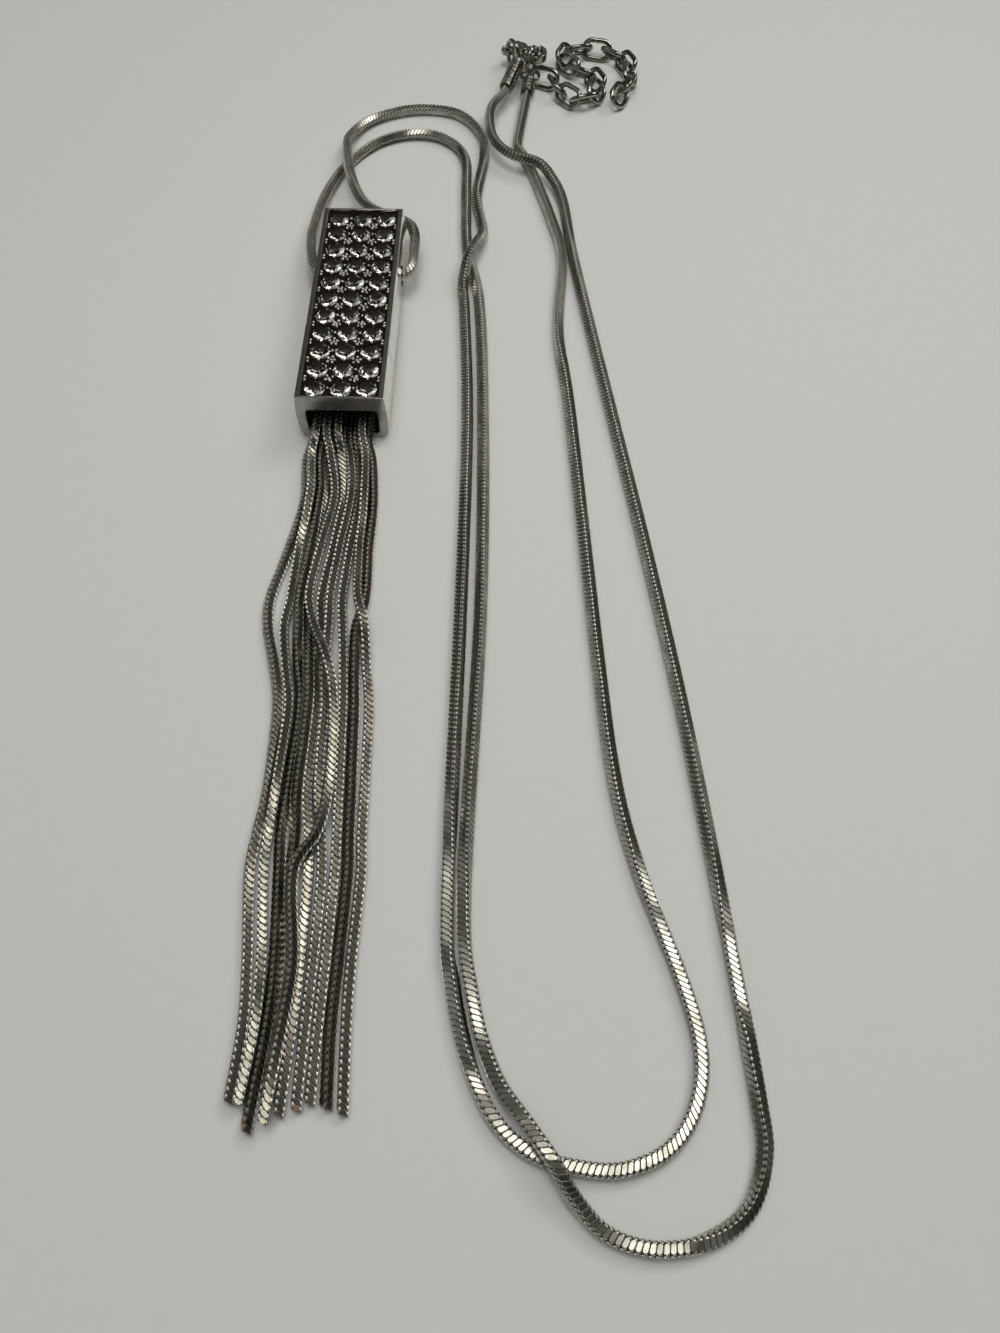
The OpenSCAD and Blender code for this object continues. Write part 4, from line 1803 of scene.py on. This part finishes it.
@dataclass
class Clasp:
    """The lobster clasp, cast in two pieces, with a softly rounded skin."""

    # The skin is laid while the piece is in millimetres
    grain: float = 0.09
    rounds: int = 6
    finish: SmokedPlate = SmokedPlate("clasp_plate")

    def cast(self, node: str) -> Piece:
        """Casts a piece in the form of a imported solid, with its edges rounded.

        Args:
            node: the solid's name.

        Returns:
            The cast piece.
        """
        piece = frame["nodes"][node].copy()
        piece.data = piece.data.copy()
        piece.parent = None
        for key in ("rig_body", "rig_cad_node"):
            del piece[key]
        shown(piece)
        face_outwards(piece)
        piece.data.transform(Matrix.Scale(1 / MM, 4))
        work(piece, "REMESH", mode="VOXEL", voxel_size=self.grain)
        work(piece, "SMOOTH", factor=0.5, iterations=self.rounds)
        piece.data.transform(Matrix.Scale(MM, 4))
        smoothed(piece, degrees=60)
        return piece

    def build(self) -> None:
        """Builds and dresses the clasp's body and its lever."""
        material = self.finish.material()
        hand_over(self.cast("clasp_body"), "clasp_hook", [material], ["clasp_body"])
        hand_over(
            self.cast("clasp_lever"), "clasp_thumb_lever", [material],
            ["clasp_lever"], Body.LEVER,
        )


# Studio


@dataclass
class Studio:
    """The plain pale floor, soft light and the camera."""

    floor_size: float = 6.0
    camera_at: Point = (3.5 * MM, -103 * MM, 115 * MM)
    camera_drop: float = 60.5
    camera_turn: float = 0.8
    camera_roll: float = 0.37
    lens: float = 27.03
    ambient: Colour = (0.03, 0.0295, 0.027)

    def camera(self) -> None:
        """Sets up the camera."""
        data = bpy.data.cameras.new("camera")
        data.sensor_width = 36
        data.lens = self.lens
        data.clip_start = 5 * MM
        data.clip_end = 10
        camera = shown(bpy.data.objects.new("camera", data))
        camera.matrix_world = put_at(
            self.camera_at,
            (math.radians(self.camera_turn), "Z"),
            (math.radians(90 - self.camera_drop), "X"),
            (math.radians(self.camera_roll), "Z"),
        )
        bpy.context.scene.camera = camera

    def lamp(self, name: str, at: Point, size: float, glow: float, colour: Colour) -> None:
        """Hangs a square soft light that faces the necklace.

        Args:
            name: its name; one that starts with fill shows in no metal.
            at: its place.
            size: the length of its side.
            glow: how strongly each square metre of it glows, in watts per steradian.
            colour: its colour.
        """
        data = bpy.data.lights.new(name, "AREA")
        data.size = size
        data.energy = glow * math.pi * size**2
        data.color = colour
        lamp = shown(bpy.data.objects.new(name, data))
        lamp.location = at
        lamp.rotation_mode = "QUATERNION"
        lamp.rotation_quaternion = (-Vector(at)).to_track_quat("-Z", "Y")
        lamp.visible_glossy = not name.startswith("fill")

    def build(self) -> None:
        """Lays the floor, hangs the lights and sets up the camera."""
        floor = added(bpy.ops.mesh.primitive_plane_add, size=self.floor_size)
        floor.name = "paper_floor"
        floor.data.materials.append(PaleFloor().material())
        # Name, place, side, glow and colour of each lamp
        for row in (
            ("overhead", (0.0, 0.1, 0.9), 0.3, 5.5, (1.0, 0.985, 0.94)),
            ("window", (0.45, 0.42, 0.62), 0.34, 4.5, (1.0, 0.99, 0.96)),
            ("front", (0.2, -0.9, 0.9), 0.9, 0.3, (1.0, 1.0, 0.98)),
            ("left", (-0.9, 0.1, 0.7), 0.8, 0.35, (0.97, 0.98, 1.0)),
            ("wall", (0.0, 1.6, 0.9), 1.6, 0.13, (1.0, 1.0, 0.97)),
            ("fill_near", (0.03, 0.0, 0.3), 0.3, 0.95, (1.0, 1.0, 0.98)),
            ("fill_wide", (0.0, 0.0, 2.2), 2.4, 0.38, (1.0, 1.0, 0.98)),
        ):
            self.lamp(*row)
        world = bpy.data.worlds.new("room")
        world.use_nodes = True
        world.node_tree.nodes["Background"].inputs["Color"].default_value = (*self.ambient, 1)
        bpy.context.scene.world = world
        bpy.context.scene.view_settings.view_transform = "Standard"
        self.camera()


def main() -> None:
    """Builds every sub-assembly in order."""
    logging.basicConfig(level=logging.INFO, format="%(message)s")
    Studio().build()
    MainChain().build()
    Tassel().build()
    stones = StoneField()
    case = Case()
    case.build(stones)
    stones.build(case.field_z)
    EndCaps().build()
    JumpRings().build()
    OvalLinks().build()
    Clasp().build()


if __name__ == "__main__":
    main()
